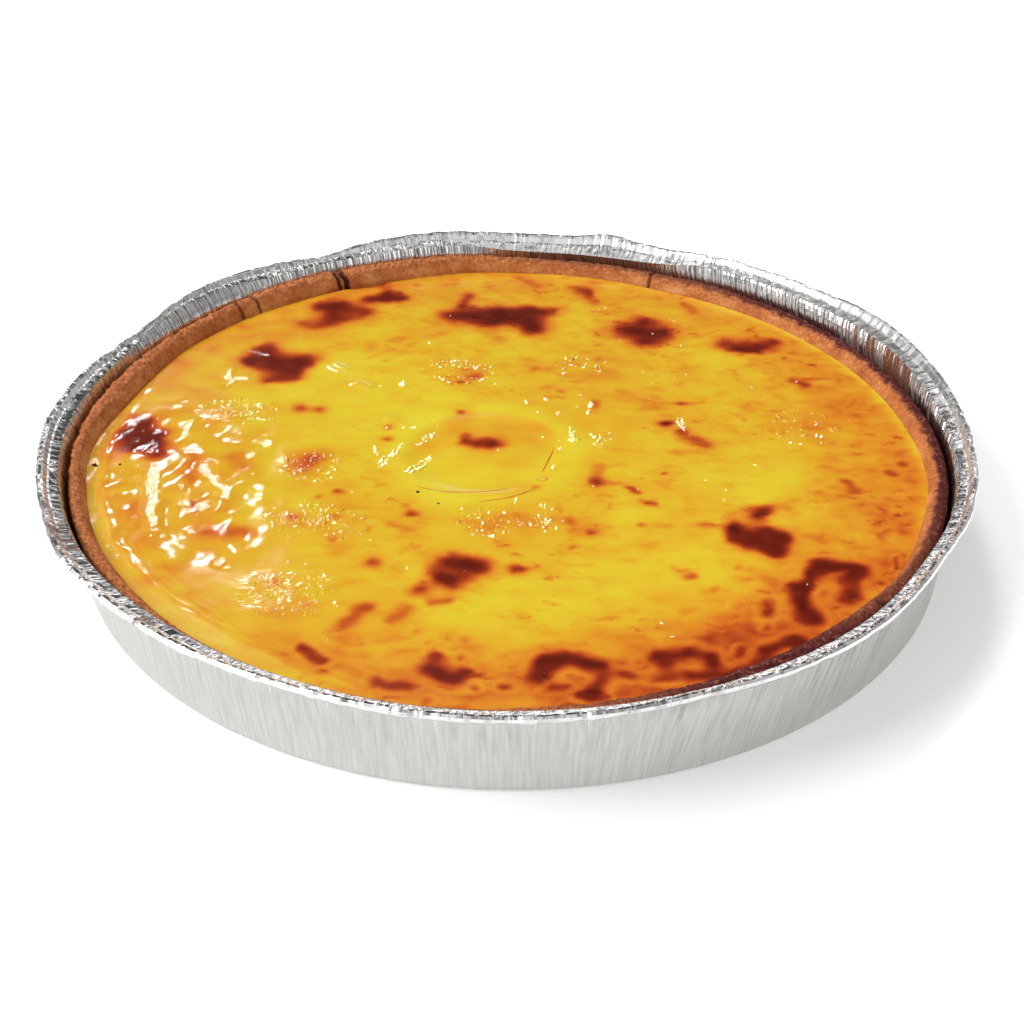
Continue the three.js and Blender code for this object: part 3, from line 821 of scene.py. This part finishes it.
def away_from_line(x, y, points):
    """Distance of each place from a line through the points, or from the one point."""
    nearest = np.hypot(x - points[0][0], y - points[0][1])
    for (x0, y0), (x1, y1) in zip(points, points[1:]):
        run_x, run_y = x1 - x0, y1 - y0
        share = np.clip(((x - x0) * run_x + (y - y0) * run_y) / (run_x ** 2 + run_y ** 2), 0, 1)
        nearest = np.minimum(nearest, np.hypot(x - x0 - share * run_x, y - y0 - share * run_y))
    return nearest


def on_plane(x, y):
    """The places as points at no height."""
    return np.column_stack((x, y, np.zeros(len(x))))


def from_dip(x, y):
    """Distance of each place from the middle of the dip."""
    return np.hypot(x - DIP_MIDDLE[0], y - DIP_MIDDLE[1])


def custard_block():
    """A round block: a fine square grid for the skin, drawn to a disc, with its rim extruded to a floor."""
    block = bmesh.new()
    bmesh.ops.create_grid(block, x_segments=CUSTARD_CELLS, y_segments=CUSTARD_CELLS, size=1)
    for vert in block.verts:
        across, along = vert.co.x, vert.co.y
        vert.co.x = across * math.sqrt(1 - along * along / 2)
        vert.co.y = along * math.sqrt(1 - across * across / 2)
    rim = [edge for edge in block.edges if edge.is_boundary]
    for edge in rim:
        edge.smooth = False
    for depth in (-0.5, -1):
        grown = bmesh.ops.extrude_edge_only(block, edges=rim)["geom"]
        rim = [part for part in grown if isinstance(part, bmesh.types.BMEdge)]
        for vert in {vert for edge in rim for vert in edge.verts}:
            vert.co.z = depth
    bmesh.ops.contextual_create(block, geom=rim)
    bmesh.ops.recalc_face_normals(block, faces=block.faces[:])
    return block


def wandering(x, y, far, near_by):
    """The places moved a little, by larger and smaller random amounts, so that marks get ragged edges."""
    flat = on_plane(x, y)
    moved = []
    for place, seeds in ((x, (3, 4, 24)), (y, (5, 6, 26))):
        large, small, finest = (lumps(flat, size, seed) for size, seed in zip(WANDER_SIZES, seeds))
        moved.append(place + far * large + near_by * (small + WANDER_FINEST * finest))
    return moved


def past_skin_edge(x, y):
    """From 0 on the skin to 1 outside its edge, where it has drawn back, and the distance from that edge."""
    degrees = angle_of(x, y)
    drawn_back = near(degrees, *SKIN_EDGE)
    flat = on_plane(x, y)
    inset = SKIN_EDGE_INSET + SKIN_EDGE_SLACK[3] * near(degrees, *SKIN_EDGE_SLACK[:3])
    bends = 1.0
    for seed, (size, share) in enumerate(SKIN_EDGE_BENDS, 17):
        bends = bends + share * lumps(flat, size, seed)
    skin_edge = crust_inner_radius(degrees) - SKIN_EDGE_GAP - inset * (drawn_back * bends)
    outside = np.hypot(x, y) - skin_edge
    return smooth_step(outside, *SKIN_EDGE_WIDTH) * drawn_back, outside


def edge_pleats(x, y):
    """Long low folds in the slack skin that lies along its drawn-back edge at the front left."""
    degrees = angle_of(x, y)
    _, outside = past_skin_edge(x, y)
    along = np.radians(degrees) * MOUTH_RADIUS
    slack = near(degrees, *SLACK) * np.exp(-((outside + SLACK_INSET) / SLACK_WIDTH) ** 2)
    return slack * lumps(np.column_stack((outside, along / PLEAT_LENGTH, 0 * x)), PLEAT_WIDTH, 19)


def tight_dish(x, y):
    """The wide dish that the tight places of the skin are parts of."""
    across, along = x - TIGHT_DISH_MIDDLE[0], y - TIGHT_DISH_MIDDLE[1]
    bends = (TIGHT_DISH_BEND[0] * across ** 2 + TIGHT_DISH_BEND[1] * along ** 2) / 2
    return bends + TIGHT_DISH_TWIST * across * along


def dip_lip(x, y):
    """1 along the lip of the dip and 0 away from it."""
    return np.exp(-((from_dip(x, y) - DIP_RADIUS - DIP_LIP_OUT) / DIP_LIP_SPREAD) ** 2)


def loose_skin(x, y):
    """The skin: nearly level and faintly rippled, with the dip, the waves and the drawn-back edge."""
    away = from_dip(x, y)
    sunk = 1 - smooth_step(away, DIP_RADIUS - DIP_SLOPE, DIP_RADIUS)
    sunk *= DIP_MIDDLE_SHARE + (1 - DIP_MIDDLE_SHARE) * (away / DIP_RADIUS) ** 2
    lip = dip_lip(x, y)
    ripple = np.sin(x / RIPPLE_ACROSS) * np.cos(y / RIPPLE_ALONG) + np.sin((x + y) / RIPPLE_ASLANT)
    crown = CUSTARD_CROWN * (1 - np.hypot(x, y) / MOUTH_RADIUS)
    height = CUSTARD_LEVEL + crown + RIPPLE_HEIGHT * ripple + DIP_LIP_HEIGHT * lip - DIP_DEPTH * sunk

    for rise, width, *points in SKIN_FOLDS:
        height += rise * np.exp(-(away_from_line(x, y, points) / width) ** 2)
    flat = on_plane(x, y)
    wavy = smooth_step(-x, *WAVES_FROM_RIGHT) * smooth_step(-y, *WAVES_FROM_BACK)
    wavy *= smooth_step(y, *WAVES_FROM_FRONT)
    drawn_out = np.column_stack((x - WAVE_SLANT * y, y / WAVE_LENGTH, 0 * x))
    waves = sum(rise * lumps(drawn_out, size, 7 + k) for k, (size, rise) in enumerate(WAVES))
    height += wavy * waves + PLEAT_HEIGHT * edge_pleats(x, y)
    height += FAINT_RELIEF * lumps(flat, FAINT_LUMPS, 13) * (1 - wavy)

    degrees = angle_of(x, y)
    past_edge, outside = past_skin_edge(x, y)
    drop = SKIN_EDGE_DROP * (1 - SOFT_END_SHARE * near(degrees, *SOFT_END))
    curb = np.exp(-((outside + CURB_INSET) / CURB_WIDTH) ** 2) * near(degrees, *CURB)
    return height - drop * past_edge + CURB_HEIGHT * curb * np.clip(in_patches(flat, CURB_PATCHES, 12), 0, 1)


def tightness(x, y):
    """How far the skin is pulled flat, from 0 to 1, and the height that it is pulled to."""
    level = np.zeros(len(x))
    tight = np.zeros(len(x))
    moved_x, moved_y = wandering(x, y, *TIGHT_WANDER)
    for width, *points in TIGHT_PLACES:
        middle_x, middle_y = np.mean(points, axis=0, keepdims=True).T
        away = away_from_line(moved_x, moved_y, points)
        share = 1 - smooth_step(away, *(width + fade for fade in TIGHT_FADE))
        flat = loose_skin(middle_x, middle_y) + tight_dish(x, y) - tight_dish(middle_x, middle_y)
        level = np.where(share > tight, flat, level)
        tight = np.maximum(tight, share)
    return tight, level


def skin_height(x, y):
    """The loose skin with its tight places pulled flat."""
    height = loose_skin(x, y)
    tight, level = tightness(x, y)
    return height + tight * (level - height)


def mottling(x, y):
    """How much the skin is flecked with orange: hardly at all in the dip and along the left."""
    past_dip = smooth_step(from_dip(x, y), DIP_RADIUS, DIP_RADIUS + MOTTLE_PAST_DIP)
    return past_dip * (LEFT_MOTTLE + (1 - LEFT_MOTTLE) * smooth_step(x, *MOTTLE_FROM_LEFT))


def browning(x, y):
    """How brown the skin is, with its scorches."""
    degrees = angle_of(x, y)
    inner = crust_inner_radius(degrees)
    to_edge = smooth_step(np.hypot(x, y) / inner, *EDGE_REACH)
    flat = on_plane(x, y)
    streaks = lumps(flat * (STREAK_STRETCH, 1, 1), STREAK_WIDTH, 15)
    warm = PLAIN_WARMTH + STREAK_WARMTH * streaks
    for seed, (size, amount) in enumerate(WARM_LUMPS, 1):
        warm += amount * lumps(flat, size, seed)
    flecks = np.clip(in_patches(flat * (FLECK_STRETCH, 1, 1), FLECKS, 27), 0, 1)
    warm += MOTTLE_WARMTH * mottling(x, y) * flecks
    for middle_x, middle_y, spread, amount in WARM_PLACES:
        warm += amount * np.exp(-((x - middle_x) ** 2 + (y - middle_y) ** 2) / spread ** 2)
    in_dip = 1 - smooth_step(from_dip(x, y), DIP_RADIUS - DIP_WARM_FADE, DIP_RADIUS)
    at_back = smooth_step(y - DIP_MIDDLE[1], *DIP_BACK)
    warm += DIP_WARMTH * in_dip * at_back - LIP_CLEARNESS * dip_lip(x, y)
    warm += FOAM_WARMTH * foaminess(x, y) + PLEAT_WARMTH * edge_pleats(x, y)
    warm += EDGE_WARMTH * to_edge
    for at, spread, amount in WARM_EDGES:
        warm += amount * near(degrees, at, spread) * to_edge
    by_crust = np.exp(-((inner - np.hypot(x, y)) / CLEAR_LINE_WIDTH) ** 2)
    warm -= CLEAR_LINE_CLEARNESS * by_crust * near(degrees, *CLEAR_LINE)
    moved_x, moved_y = wandering(x, y, *SCORCH_WANDER)
    blotch_size, blotch_share = SCORCH_BLOTCHES
    blotchy = 1 + blotch_share * lumps(flat, blotch_size, 16) + SCORCH_STREAKS * streaks
    clear, halo = np.ones(len(x)), np.zeros(len(x))
    for dark, width, *points in SCORCHES:
        away = away_from_line(moved_x, moved_y, points)
        reach = SCORCH_REACH * width + min(SCORCH_SOFTNESS * width, SCORCH_SOFTEST)
        clear *= 1 - dark * (1 - smooth_step(away, 0, reach))
        halo = np.maximum(halo, dark * (1 - smooth_step(away, width, width + HALO_WIDTH)))
    return (warm + HALO_WARMTH * halo) * clear ** 2 + SCORCH_DARKEST * blotchy * (1 - clear) ** 1.3


def foaminess(x, y):
    """From 0 on smooth skin to 1 in the middle of a patch of foam, ragged at its edge."""
    moved_x, moved_y = wandering(x, y, *FOAM_WANDER)
    foam = np.zeros(len(x))
    for middle_x, middle_y, across, along, density in FOAM_PATCHES:
        away = np.hypot((moved_x - middle_x) / across, (moved_y - middle_y) / along)
        foam = np.maximum(foam, min(density / FULL_FOAM, 1) * (1 - smooth_step(away, *FOAM_FADE)))
    return foam * np.clip(in_patches(on_plane(x, y), FOAM_GAPS, 21), 0, 1)


def shape_custard(mesh):
    """Sets the block in the shell, lifts the skin's relief and stores its browning and its other looks."""
    nominal = points_of(mesh)
    share = np.hypot(nominal[:, 0], nominal[:, 1])
    turn = np.arctan2(nominal[:, 1], nominal[:, 0])
    below = -nominal[:, 2]
    radius = share * (crust_inner_radius(np.degrees(turn)) + CUSTARD_TUCK) - CRUST_LEAN * below
    x, y = radius * np.cos(turn), radius * np.sin(turn)
    top = skin_height(x, y)
    put_points(mesh, x, y, top + (CUSTARD_FLOOR - top) * below)
    past_edge, _ = past_skin_edge(x, y)
    brown = browning(x, y) * (1 - SKIN_EDGE_CLEARNESS * past_edge)
    paint(mesh, "browning", np.where(below > 0, SIDE_BROWNING, brown))
    paint(mesh, "grainy", past_edge)
    paint(mesh, "foamy", foaminess(x, y))
    paint(mesh, "tight", tightness(x, y)[0])
    paint(mesh, "mottled", mottling(x, y))


def custard_finish():
    """Glossy set egg custard: clear yellow through orange to a dark brown, finely blistered in patches."""
    material, tree, shader = new_finish("custard")
    place = node(tree, "ShaderNodeTexCoord").outputs["Object"]
    mottle = maths(tree, "SUBTRACT", speckle(tree, place, 150, 3), 0.5)
    streaked = node(tree, "ShaderNodeMapping", {"Vector": place, "Scale": (0.7, 1, 1)}).outputs[0]
    flecks = sharpened(tree, speckle(tree, streaked, 330, 3), 0.56, 3.0)
    gathered = sharpened(tree, speckle(tree, place, 45, 2), 0.38, 4.0)
    flecks = maths(tree, "MULTIPLY", maths(tree, "MULTIPLY", flecks, gathered), painted(tree, "mottled"))
    foam = maths(tree, "MULTIPLY", speckle(tree, place, 620, 2), painted(tree, "foamy"))
    tone = added(tree, painted(tree, "browning"), mottle, 0.18)
    tone = added(tree, tone, flecks, 0.42)
    tone = added(tree, tone, foam, 0.05)
    colour = ramp(tree, tone, [
        (0.00, (233, 212, 56)), (0.14, (231, 198, 48)), (0.28, (230, 172, 42)), (0.40, (226, 142, 38)),
        (0.52, (210, 100, 32)), (0.66, (168, 60, 24)), (0.82, (122, 36, 16)), (1.00, (90, 22, 10)),
    ])
    tree.links.new(colour, shader.inputs["Base Color"])
    tree.links.new(added(tree, 0.10, painted(tree, "grainy"), 0.05), shader.inputs["Roughness"])
    shader.inputs["IOR"].default_value = 1.5
    fine = maths(tree, "MULTIPLY", speckle(tree, place, 420, 3), 0.05)
    grainy = maths(tree, "MULTIPLY", speckle(tree, place, 900, 2), painted(tree, "grainy"))
    crinkle = maths(tree, "MULTIPLY", speckle(tree, place, 700, 3), painted(tree, "tight"))
    relief = added(tree, fine, grainy, 0.1)
    relief = added(tree, relief, foam, 0.7)
    relief = added(tree, relief, crinkle, 0.25)
    add_bump(tree, shader, relief, 0.6, 0.5 * MM)
    return material


custard = piece_from("custard_set", custard_block())
shape_custard(custard.data)
custard.data.materials.append(custard_finish())
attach(custard, "root")
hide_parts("custard")

# The blisters: bubbles of steam that lifted the custard's skin into low glossy flakes, close together in
# patches and streaks, and here and there between them.
BLISTER_RADIUS = (0.25, 1.0)
LOOSE_SIZE = 0.6
BLISTER_RISE = 0.16
BLISTER_CAP = 0.62
BLISTER_SIDES = 11
# How drawn out they are, which way (usual slant and spread), how ragged, and how deep they are set.
BLISTER_STRETCH = (1.0, 2.2)
BLISTER_SLANT = (65, 30)
BLISTER_RAGS = (0.45, 1.3)
BLISTER_SINK = 0.05
# Their flat tops lean to the front, and to the left on the right of the tart: how steeply in the middle, how
# much more with each millimetre to the right and back, and how much they differ.
BLISTER_LEAN = (0.131, 0.22)
BLISTER_LEAN_GROWTH = (0.0020, 0.0007)
BLISTER_LEAN_SPREAD = 0.10
BLISTER_SPACING = 1.0
BLISTER_BROWNING = -0.04
BLISTER_FOAM = 0.6
LOOSE_BLISTERS = 150
LOOSE_REACH = 105
# Streaks of close blisters that shine: the middle, half length, half width and slant.
SHINY_STREAKS = [
    (-33.1, -1.8, 4.2, 0.9, 69), (-35.0, -4.3, 4.4, 1.1, 71), (-36.5, -8.5, 2.4, 1.2, 66),
    (-38.7, -1.6, 3.1, 0.6, 101), (-26.0, -9.1, 6.4, 1.3, 56), (-24.7, 5.8, 4.7, 1.3, 52),
    (-30.7, 11.6, 2.9, 0.4, 6), (18.4, 9.1, 3.5, 0.9, 90), (18.7, 3.9, 1.3, 0.8, 26),
    (15.0, 0.2, 4.2, 0.4, 93), (12.5, -11.3, 1.6, 0.4, 51), (24.2, 23.4, 4.3, 0.6, 78),
    (10.4, -38.9, 3.0, 1.0, 65), (4.6, 27.4, 1.3, 0.5, 104), (11.5, 29.3, 0.9, 0.5, 46),
    (14.1, 19.9, 0.8, 0.6, 27), (-33.3, 38.1, 1.3, 0.8, 79), (-4.8, 38.2, 1.0, 0.5, 108),
    (2.2, -28.7, 1.2, 0.8, 62), (51.5, 14.5, 3.8, 1.2, 100),
]
STREAK_DENSITY = 1.6
STREAK_SPACING = 0.6
STREAK_SIZE = 1.1
STREAK_LEAN_SPREAD = 0.03


def blister_places():
    """Middles of the blisters, their greatest radius and how much their lean differs, drawn at random in the
    patches and streaks and over the whole skin, none of them too close."""
    draw = np.random.default_rng(61)
    usual = (BLISTER_LEAN_SPREAD, BLISTER_SPACING)
    sparse = LOOSE_BLISTERS / (math.pi * LOOSE_REACH ** 2)
    areas = [(x, y, long, wide, slant, STREAK_DENSITY, STREAK_SIZE, STREAK_LEAN_SPREAD, STREAK_SPACING)
             for x, y, long, wide, slant in SHINY_STREAKS]
    areas += [(x, y, across, along, 0, density, BLISTER_RADIUS[1], *usual)
              for x, y, across, along, density in FOAM_PATCHES]
    areas.append((0, 0, LOOSE_REACH, LOOSE_REACH, 0, sparse, LOOSE_SIZE, *usual))
    kept = np.empty((0, 4))
    for x, y, long, wide, slant, density, largest, spread, spacing in areas:
        along = np.array((math.cos(math.radians(slant)), math.sin(math.radians(slant))))
        aside = np.array((-along[1], along[0]))
        for _ in range(math.ceil(density * math.pi * long * wide)):
            reach, turn = math.sqrt(draw.uniform()), draw.uniform(0, math.tau)
            spot = (x, y) + reach * (long * math.cos(turn) * along + wide * math.sin(turn) * aside)
            if np.all(np.hypot(*(kept[:, :2] - spot).T) > spacing):
                kept = np.vstack((kept, (*spot, largest, spread)))
    return kept


def joined(name, points, faces):
    """One bmesh of many small shapes, from all their points and faces."""
    mesh = bpy.data.meshes.new(name)
    mesh.from_pydata(np.vstack(points).tolist(), [], faces)
    body = bmesh.new()
    body.from_mesh(mesh)
    bpy.data.meshes.remove(mesh)
    return body


def blister_domes(places):
    """Low mounds at these places, each a ragged flat-topped cone set on the skin, drawn out slantwise."""
    draw = np.random.default_rng(62)
    mound = bmesh.new()
    bmesh.ops.create_cone(mound, cap_ends=True, segments=BLISTER_SIDES, radius1=1, radius2=BLISTER_CAP,
                          depth=1)
    bottom = [face for face in mound.faces if face.normal.z < -0.9]
    bmesh.ops.delete(mound, geom=bottom, context="FACES_ONLY")
    mound_points = np.array([vert.co for vert in mound.verts])
    mound_faces = [[vert.index for vert in face.verts] for face in mound.faces]
    mound.free()
    on_top = mound_points[:, 2] > 0
    turns = np.arctan2(mound_points[:, 1], mound_points[:, 0]) / math.tau
    corner = np.round(turns * BLISTER_SIDES).astype(int)
    points, faces = [], []
    for (x, y, largest, spread), z in zip(places, skin_height(places[:, 0], places[:, 1])):
        size = draw.uniform(BLISTER_RADIUS[0], largest)
        stretch = draw.uniform(*BLISTER_STRETCH)
        slant = math.radians(draw.normal(*BLISTER_SLANT))
        form = np.array(Matrix.Rotation(slant, 2)) * (size * stretch, size / stretch ** 0.5)
        ragged = draw.uniform(*BLISTER_RAGS, BLISTER_SIDES)[corner % BLISTER_SIDES]
        offset = (mound_points[:, :2] * ragged[:, None]) @ form.T
        lean = BLISTER_LEAN + np.array(BLISTER_LEAN_GROWTH) * (x, y) + draw.normal(0, spread, 2)
        rise = np.where(on_top, BLISTER_RISE * size + offset @ lean, -BLISTER_SINK)
        start = len(points) * len(mound_points)
        points.append(np.column_stack((x + offset[:, 0], y + offset[:, 1], z + rise)))
        faces += [[start + place for place in face] for face in mound_faces]
    return joined("custard_blisters", points, faces)


blisters = piece_from("custard_blisters", blister_domes(blister_places()))
for face in blisters.data.polygons:
    face.use_smooth = len(face.vertices) < BLISTER_SIDES
blister_points = points_of(blisters.data)
paint(blisters.data, "browning", browning(*blister_points.T[:2]) + BLISTER_BROWNING)
paint(blisters.data, "grainy", np.zeros(len(blister_points)))
paint(blisters.data, "foamy", np.full(len(blister_points), BLISTER_FOAM))
put_points(blisters.data, *blister_points.T)
blisters.data.materials.append(custard.data.materials[0])
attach(blisters, "root")

# The seams: fine brown lines round the dip, where the skin tore as it sank and sealed again.
SEAM_RADIUS = 0.28
SEAM_STEP = 0.5
SEAM_SIDES = 6
SEAM_BROWNING = 0.45
SEAM_SMOOTHING = 6
SEAM_RUN_OUT = 0.15
SEAM_FLATNESS = 0.5
SEAMS = [
    [(-26, -21), (-23, -22.4), (-18, -24), (-8, -23.6), (0, -21.8)],
    [(-8, -29), (0, -27), (5, -24), (7.5, -22)],
    [(13, 1), (12.6, -2), (11, -8), (9.4, -13)],
    [(7.6, -17), (9.5, -15.4), (11.4, -17), (9.5, -18.6), (7.6, -17)],
]


def seam_beads():
    """A thin bead along each line, half sunk in the skin and running out at its ends."""
    points, faces = [], []
    start = 0
    for line in SEAMS:
        corners = np.array(line, float)
        runs = np.concatenate(([0], np.cumsum(np.hypot(*np.diff(corners, axis=0).T))))
        places = np.linspace(0, runs[-1], round(runs[-1] / SEAM_STEP) + 1)
        across, along = (np.interp(places, runs, corners[:, k]) for k in range(2))
        for _ in range(SEAM_SMOOTHING):
            across[1:-1] = (across[:-2] + across[2:] + 2 * across[1:-1]) / 4
            along[1:-1] = (along[:-2] + along[2:] + 2 * along[1:-1]) / 4
        height = skin_height(across, along)
        ahead = np.column_stack((np.gradient(across), np.gradient(along)))
        ahead /= np.hypot(*ahead.T)[:, None]
        swell = np.sin(np.linspace(SEAM_RUN_OUT, math.pi - SEAM_RUN_OUT, len(places)))
        size = SEAM_RADIUS * swell ** 0.5
        for side in range(SEAM_SIDES):
            turn = math.tau * side / SEAM_SIDES
            wide = size * math.cos(turn)
            points.append(np.column_stack((across - ahead[:, 1] * wide, along + ahead[:, 0] * wide,
                                           height + SEAM_FLATNESS * size * math.sin(turn))))
            this = start + side * len(places)
            following = start + (side + 1) % SEAM_SIDES * len(places)
            faces += [[this + k, following + k, following + k + 1, this + k + 1]
                      for k in range(len(places) - 1)]
        faces.append([start + side * len(places) for side in range(SEAM_SIDES)][::-1])
        faces.append([start + (side + 1) * len(places) - 1 for side in range(SEAM_SIDES)])
        start += SEAM_SIDES * len(places)
    beads = joined("custard_seams", points, faces)
    bmesh.ops.recalc_face_normals(beads, faces=beads.faces[:])
    return beads


seams = piece_from("custard_seams", seam_beads())
paint(seams.data, "browning", np.full(len(seams.data.vertices), SEAM_BROWNING))
put_points(seams.data, *points_of(seams.data).T)
seams.data.materials.append(custard.data.materials[0])
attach(seams, "root")

# The specks: burnt crumbs of the crust that have dropped on the custard and stuck to its skin.
SPECK_FORM = (1, 0.7, 0.5)
SPECK_LIFT = 0.2
SPECK_ROUGHNESS = 0.12
SPECKS = [(-119, -10, 0.8), (-111.5, -10.5, 0.5), (-25.5, -24, 0.55), (-19.5, -30, 0.4)]


def speck_crumbs():
    """A small uneven ball for each crumb."""
    draw = np.random.default_rng(71)
    crumbs = bmesh.new()
    places = np.array([speck[:2] for speck in SPECKS], float)
    for (x, y, size), z in zip(SPECKS, skin_height(*places.T)):
        form = Matrix.Diagonal((*(share * size for share in SPECK_FORM), 1))
        form = Matrix.Translation((x, y, z + SPECK_LIFT * size)) @ form
        ball = bmesh.ops.create_icosphere(crumbs, subdivisions=2, radius=1, matrix=form)
        for vert in ball["verts"]:
            vert.co += Vector(draw.uniform(-SPECK_ROUGHNESS, SPECK_ROUGHNESS, 3) * size)
    return crumbs


specks = piece_from("burnt_specks", speck_crumbs())
put_points(specks.data, *points_of(specks.data).T)
burnt, burnt_tree, burnt_shader = new_finish("burnt_crumb")
burnt_shader.inputs["Base Color"].default_value = linear((38, 20, 14))
burnt_shader.inputs["Roughness"].default_value = 0.7
specks.data.materials.append(burnt)
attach(specks, "root")

# The floor: a wide sheet of plain white card that the tart stands on, bright enough to lift its shadows.
FLOOR_SIZE = 4.0
sheet = bmesh.new()
bmesh.ops.create_grid(sheet, x_segments=1, y_segments=1, size=FLOOR_SIZE)
floor = piece_from("floor", sheet)
card, card_tree, card_shader = new_finish("white_card")
card_shader.inputs["Base Color"].default_value = (0.93, 0.93, 0.93, 1)
card_shader.inputs["Roughness"].default_value = 0.9
card_shader.inputs["Emission Color"].default_value = (1, 1, 1, 1)
card_shader.inputs["Emission Strength"].default_value = 0.3
floor.data.materials.append(card)

# The light: a room of pale and dark fields, paler on the left, and dark where the level custard mirrors it,
# with a key from the left, a fill from the front, and two boxes behind that give the custard its glints.
world = bpy.data.worlds.new("studio")
world.use_nodes = True
world.node_tree.nodes["Background"].inputs["Color"].default_value = (1, 1, 1, 1)
room = world.node_tree
facing = node(room, "ShaderNodeTexCoord").outputs["Generated"]


def from_to(value, low, high, at_low, at_high):
    """A number that goes from one value to another as the first number goes from low to high."""
    limits = {"Value": value, "From Min": low, "From Max": high, "To Min": at_low, "To Max": at_high}
    return node(room, "ShaderNodeMapRange", limits).outputs[0]


aside = node(room, "ShaderNodeSeparateXYZ", {0: facing}).outputs
fields = from_to(speckle(room, facing, 4.5, 1.0), 0.46, 0.54, 0.06, 0.95)
paler = from_to(aside["X"], -1, 1, 1.15, 0.45)
open_side = from_to(maths(room, "ABSOLUTE", aside["X"]), 0.25, 0.33, 0, 1)
open_level = from_to(maths(room, "ABSOLUTE", maths(room, "SUBTRACT", aside["Z"], 0.53)), 0.13, 0.19, 0, 1)
open_front = from_to(aside["Y"], 0.2, 0, 0, 1)
opened = maths(room, "MAXIMUM", maths(room, "MAXIMUM", open_side, open_level), open_front)
brightness = maths(room, "MULTIPLY", maths(room, "MULTIPLY", fields, paler), opened)
# The picture itself shows plain white behind the floor.
in_picture = node(room, "ShaderNodeLightPath").outputs["Is Camera Ray"]
brightness = maths(room, "MAXIMUM", maths(room, "ADD", brightness, 0.04), in_picture)
room.links.new(brightness, room.nodes["Background"].inputs["Strength"])
bpy.context.scene.world = world


def lamp(name, kind, direction, distance, energy, **settings):
    """A light that shines on the tart from this direction."""
    data = bpy.data.lights.new(name, kind)
    data.energy = energy
    for setting, value in settings.items():
        setattr(data, setting, value)
    light = bpy.data.objects.new(name, data)
    aim = Vector(direction).normalized()
    light.location = aim * distance
    light.rotation_mode = "QUATERNION"
    light.rotation_quaternion = aim.to_track_quat("Z", "Y")
    light.visible_camera = False
    bpy.context.scene.collection.objects.link(light)
    return light


lamp("key", "SUN", (-0.85, -0.22, 0.85), 2.0, 1.6, angle=math.radians(30))
lamp("fill", "SUN", (0.3, -0.8, 0.8), 2.0, 0.15, angle=math.radians(60))
back_light = lamp("back_light", "SUN", (-0.170, 0.592, 0.788), 2.0, 0.93, angle=math.radians(15))
back_light.visible_glossy = False
high_box = lamp("high_box", "AREA", (-0.170, 0.555, 0.814), 1.6, 10.0,
                shape="RECTANGLE", size=0.66, size_y=0.32)
high_box.visible_diffuse = False
glint_box = lamp("glint_box", "AREA", (-0.2156, 0.821, 0.5287), 2.02, 0.7,
                 shape="RECTANGLE", size=0.08, size_y=0.095)
boxes = [back_light, high_box, glint_box]
# Panes of light that only the foil mirrors: the direction, how many degrees across, and how bright.
FOIL_PANES = [
    ((-0.28, 0.56, 0.78), 23, 1.3), ((0.28, 0.56, 0.78), 8, 2.5), ((0.30, 0.84, 0.45), 14, 1.6),
    ((-0.30, 0.84, 0.45), 11, 1.5), ((0.14, 0.98, 0.12), 10, 1.6), ((0, 1, 0.05), 8, 1.6),
    ((-0.14, 0.98, 0.12), 8, 1.5), ((0.99, -0.12, 0.20), 14, 1.0), ((0, -0.9, 0.35), 26, 1.2),
]


def shine_only_on(lights, pieces):
    """Keeps the lights off everything but these pieces."""
    lit = bpy.data.collections.new(f"lit_by_{lights[0].name}")
    for piece in pieces:
        lit.objects.link(piece)
    for light in lights:
        light.light_linking.receiver_collection = lit


panes = []
for number, (direction, across, bright) in enumerate(FOIL_PANES):
    angle = math.radians(across)
    strength = bright * math.pi * math.sin(angle / 2) ** 2
    panes.append(lamp(f"pane_{number}", "SUN", direction, 2.0, strength, angle=angle))
shine_only_on(panes, [foil_tin])
shine_only_on(boxes, [pastry_shell, custard, blisters, seams, specks, floor])

# The camera: close above the front, as the tart was photographed, a little off level.
EYE = Vector((0.00125, -0.45055, 0.29036))
LOOKED_AT = Vector((0.00125, 0, 0))
ROLL = math.radians(0.38)
LENS = 63.14
SENSOR = 36
camera_data = bpy.data.cameras.new("camera")
camera_data.lens = LENS
camera_data.sensor_width = SENSOR
camera = bpy.data.objects.new("camera", camera_data)
camera.location = EYE
camera.rotation_mode = "QUATERNION"
camera.rotation_quaternion = (LOOKED_AT - EYE).to_track_quat("-Z", "Y") @ Quaternion((0, 0, 1), ROLL)
bpy.context.scene.collection.objects.link(camera)
bpy.context.scene.camera = camera
bpy.context.scene.view_settings.view_transform = "Standard"
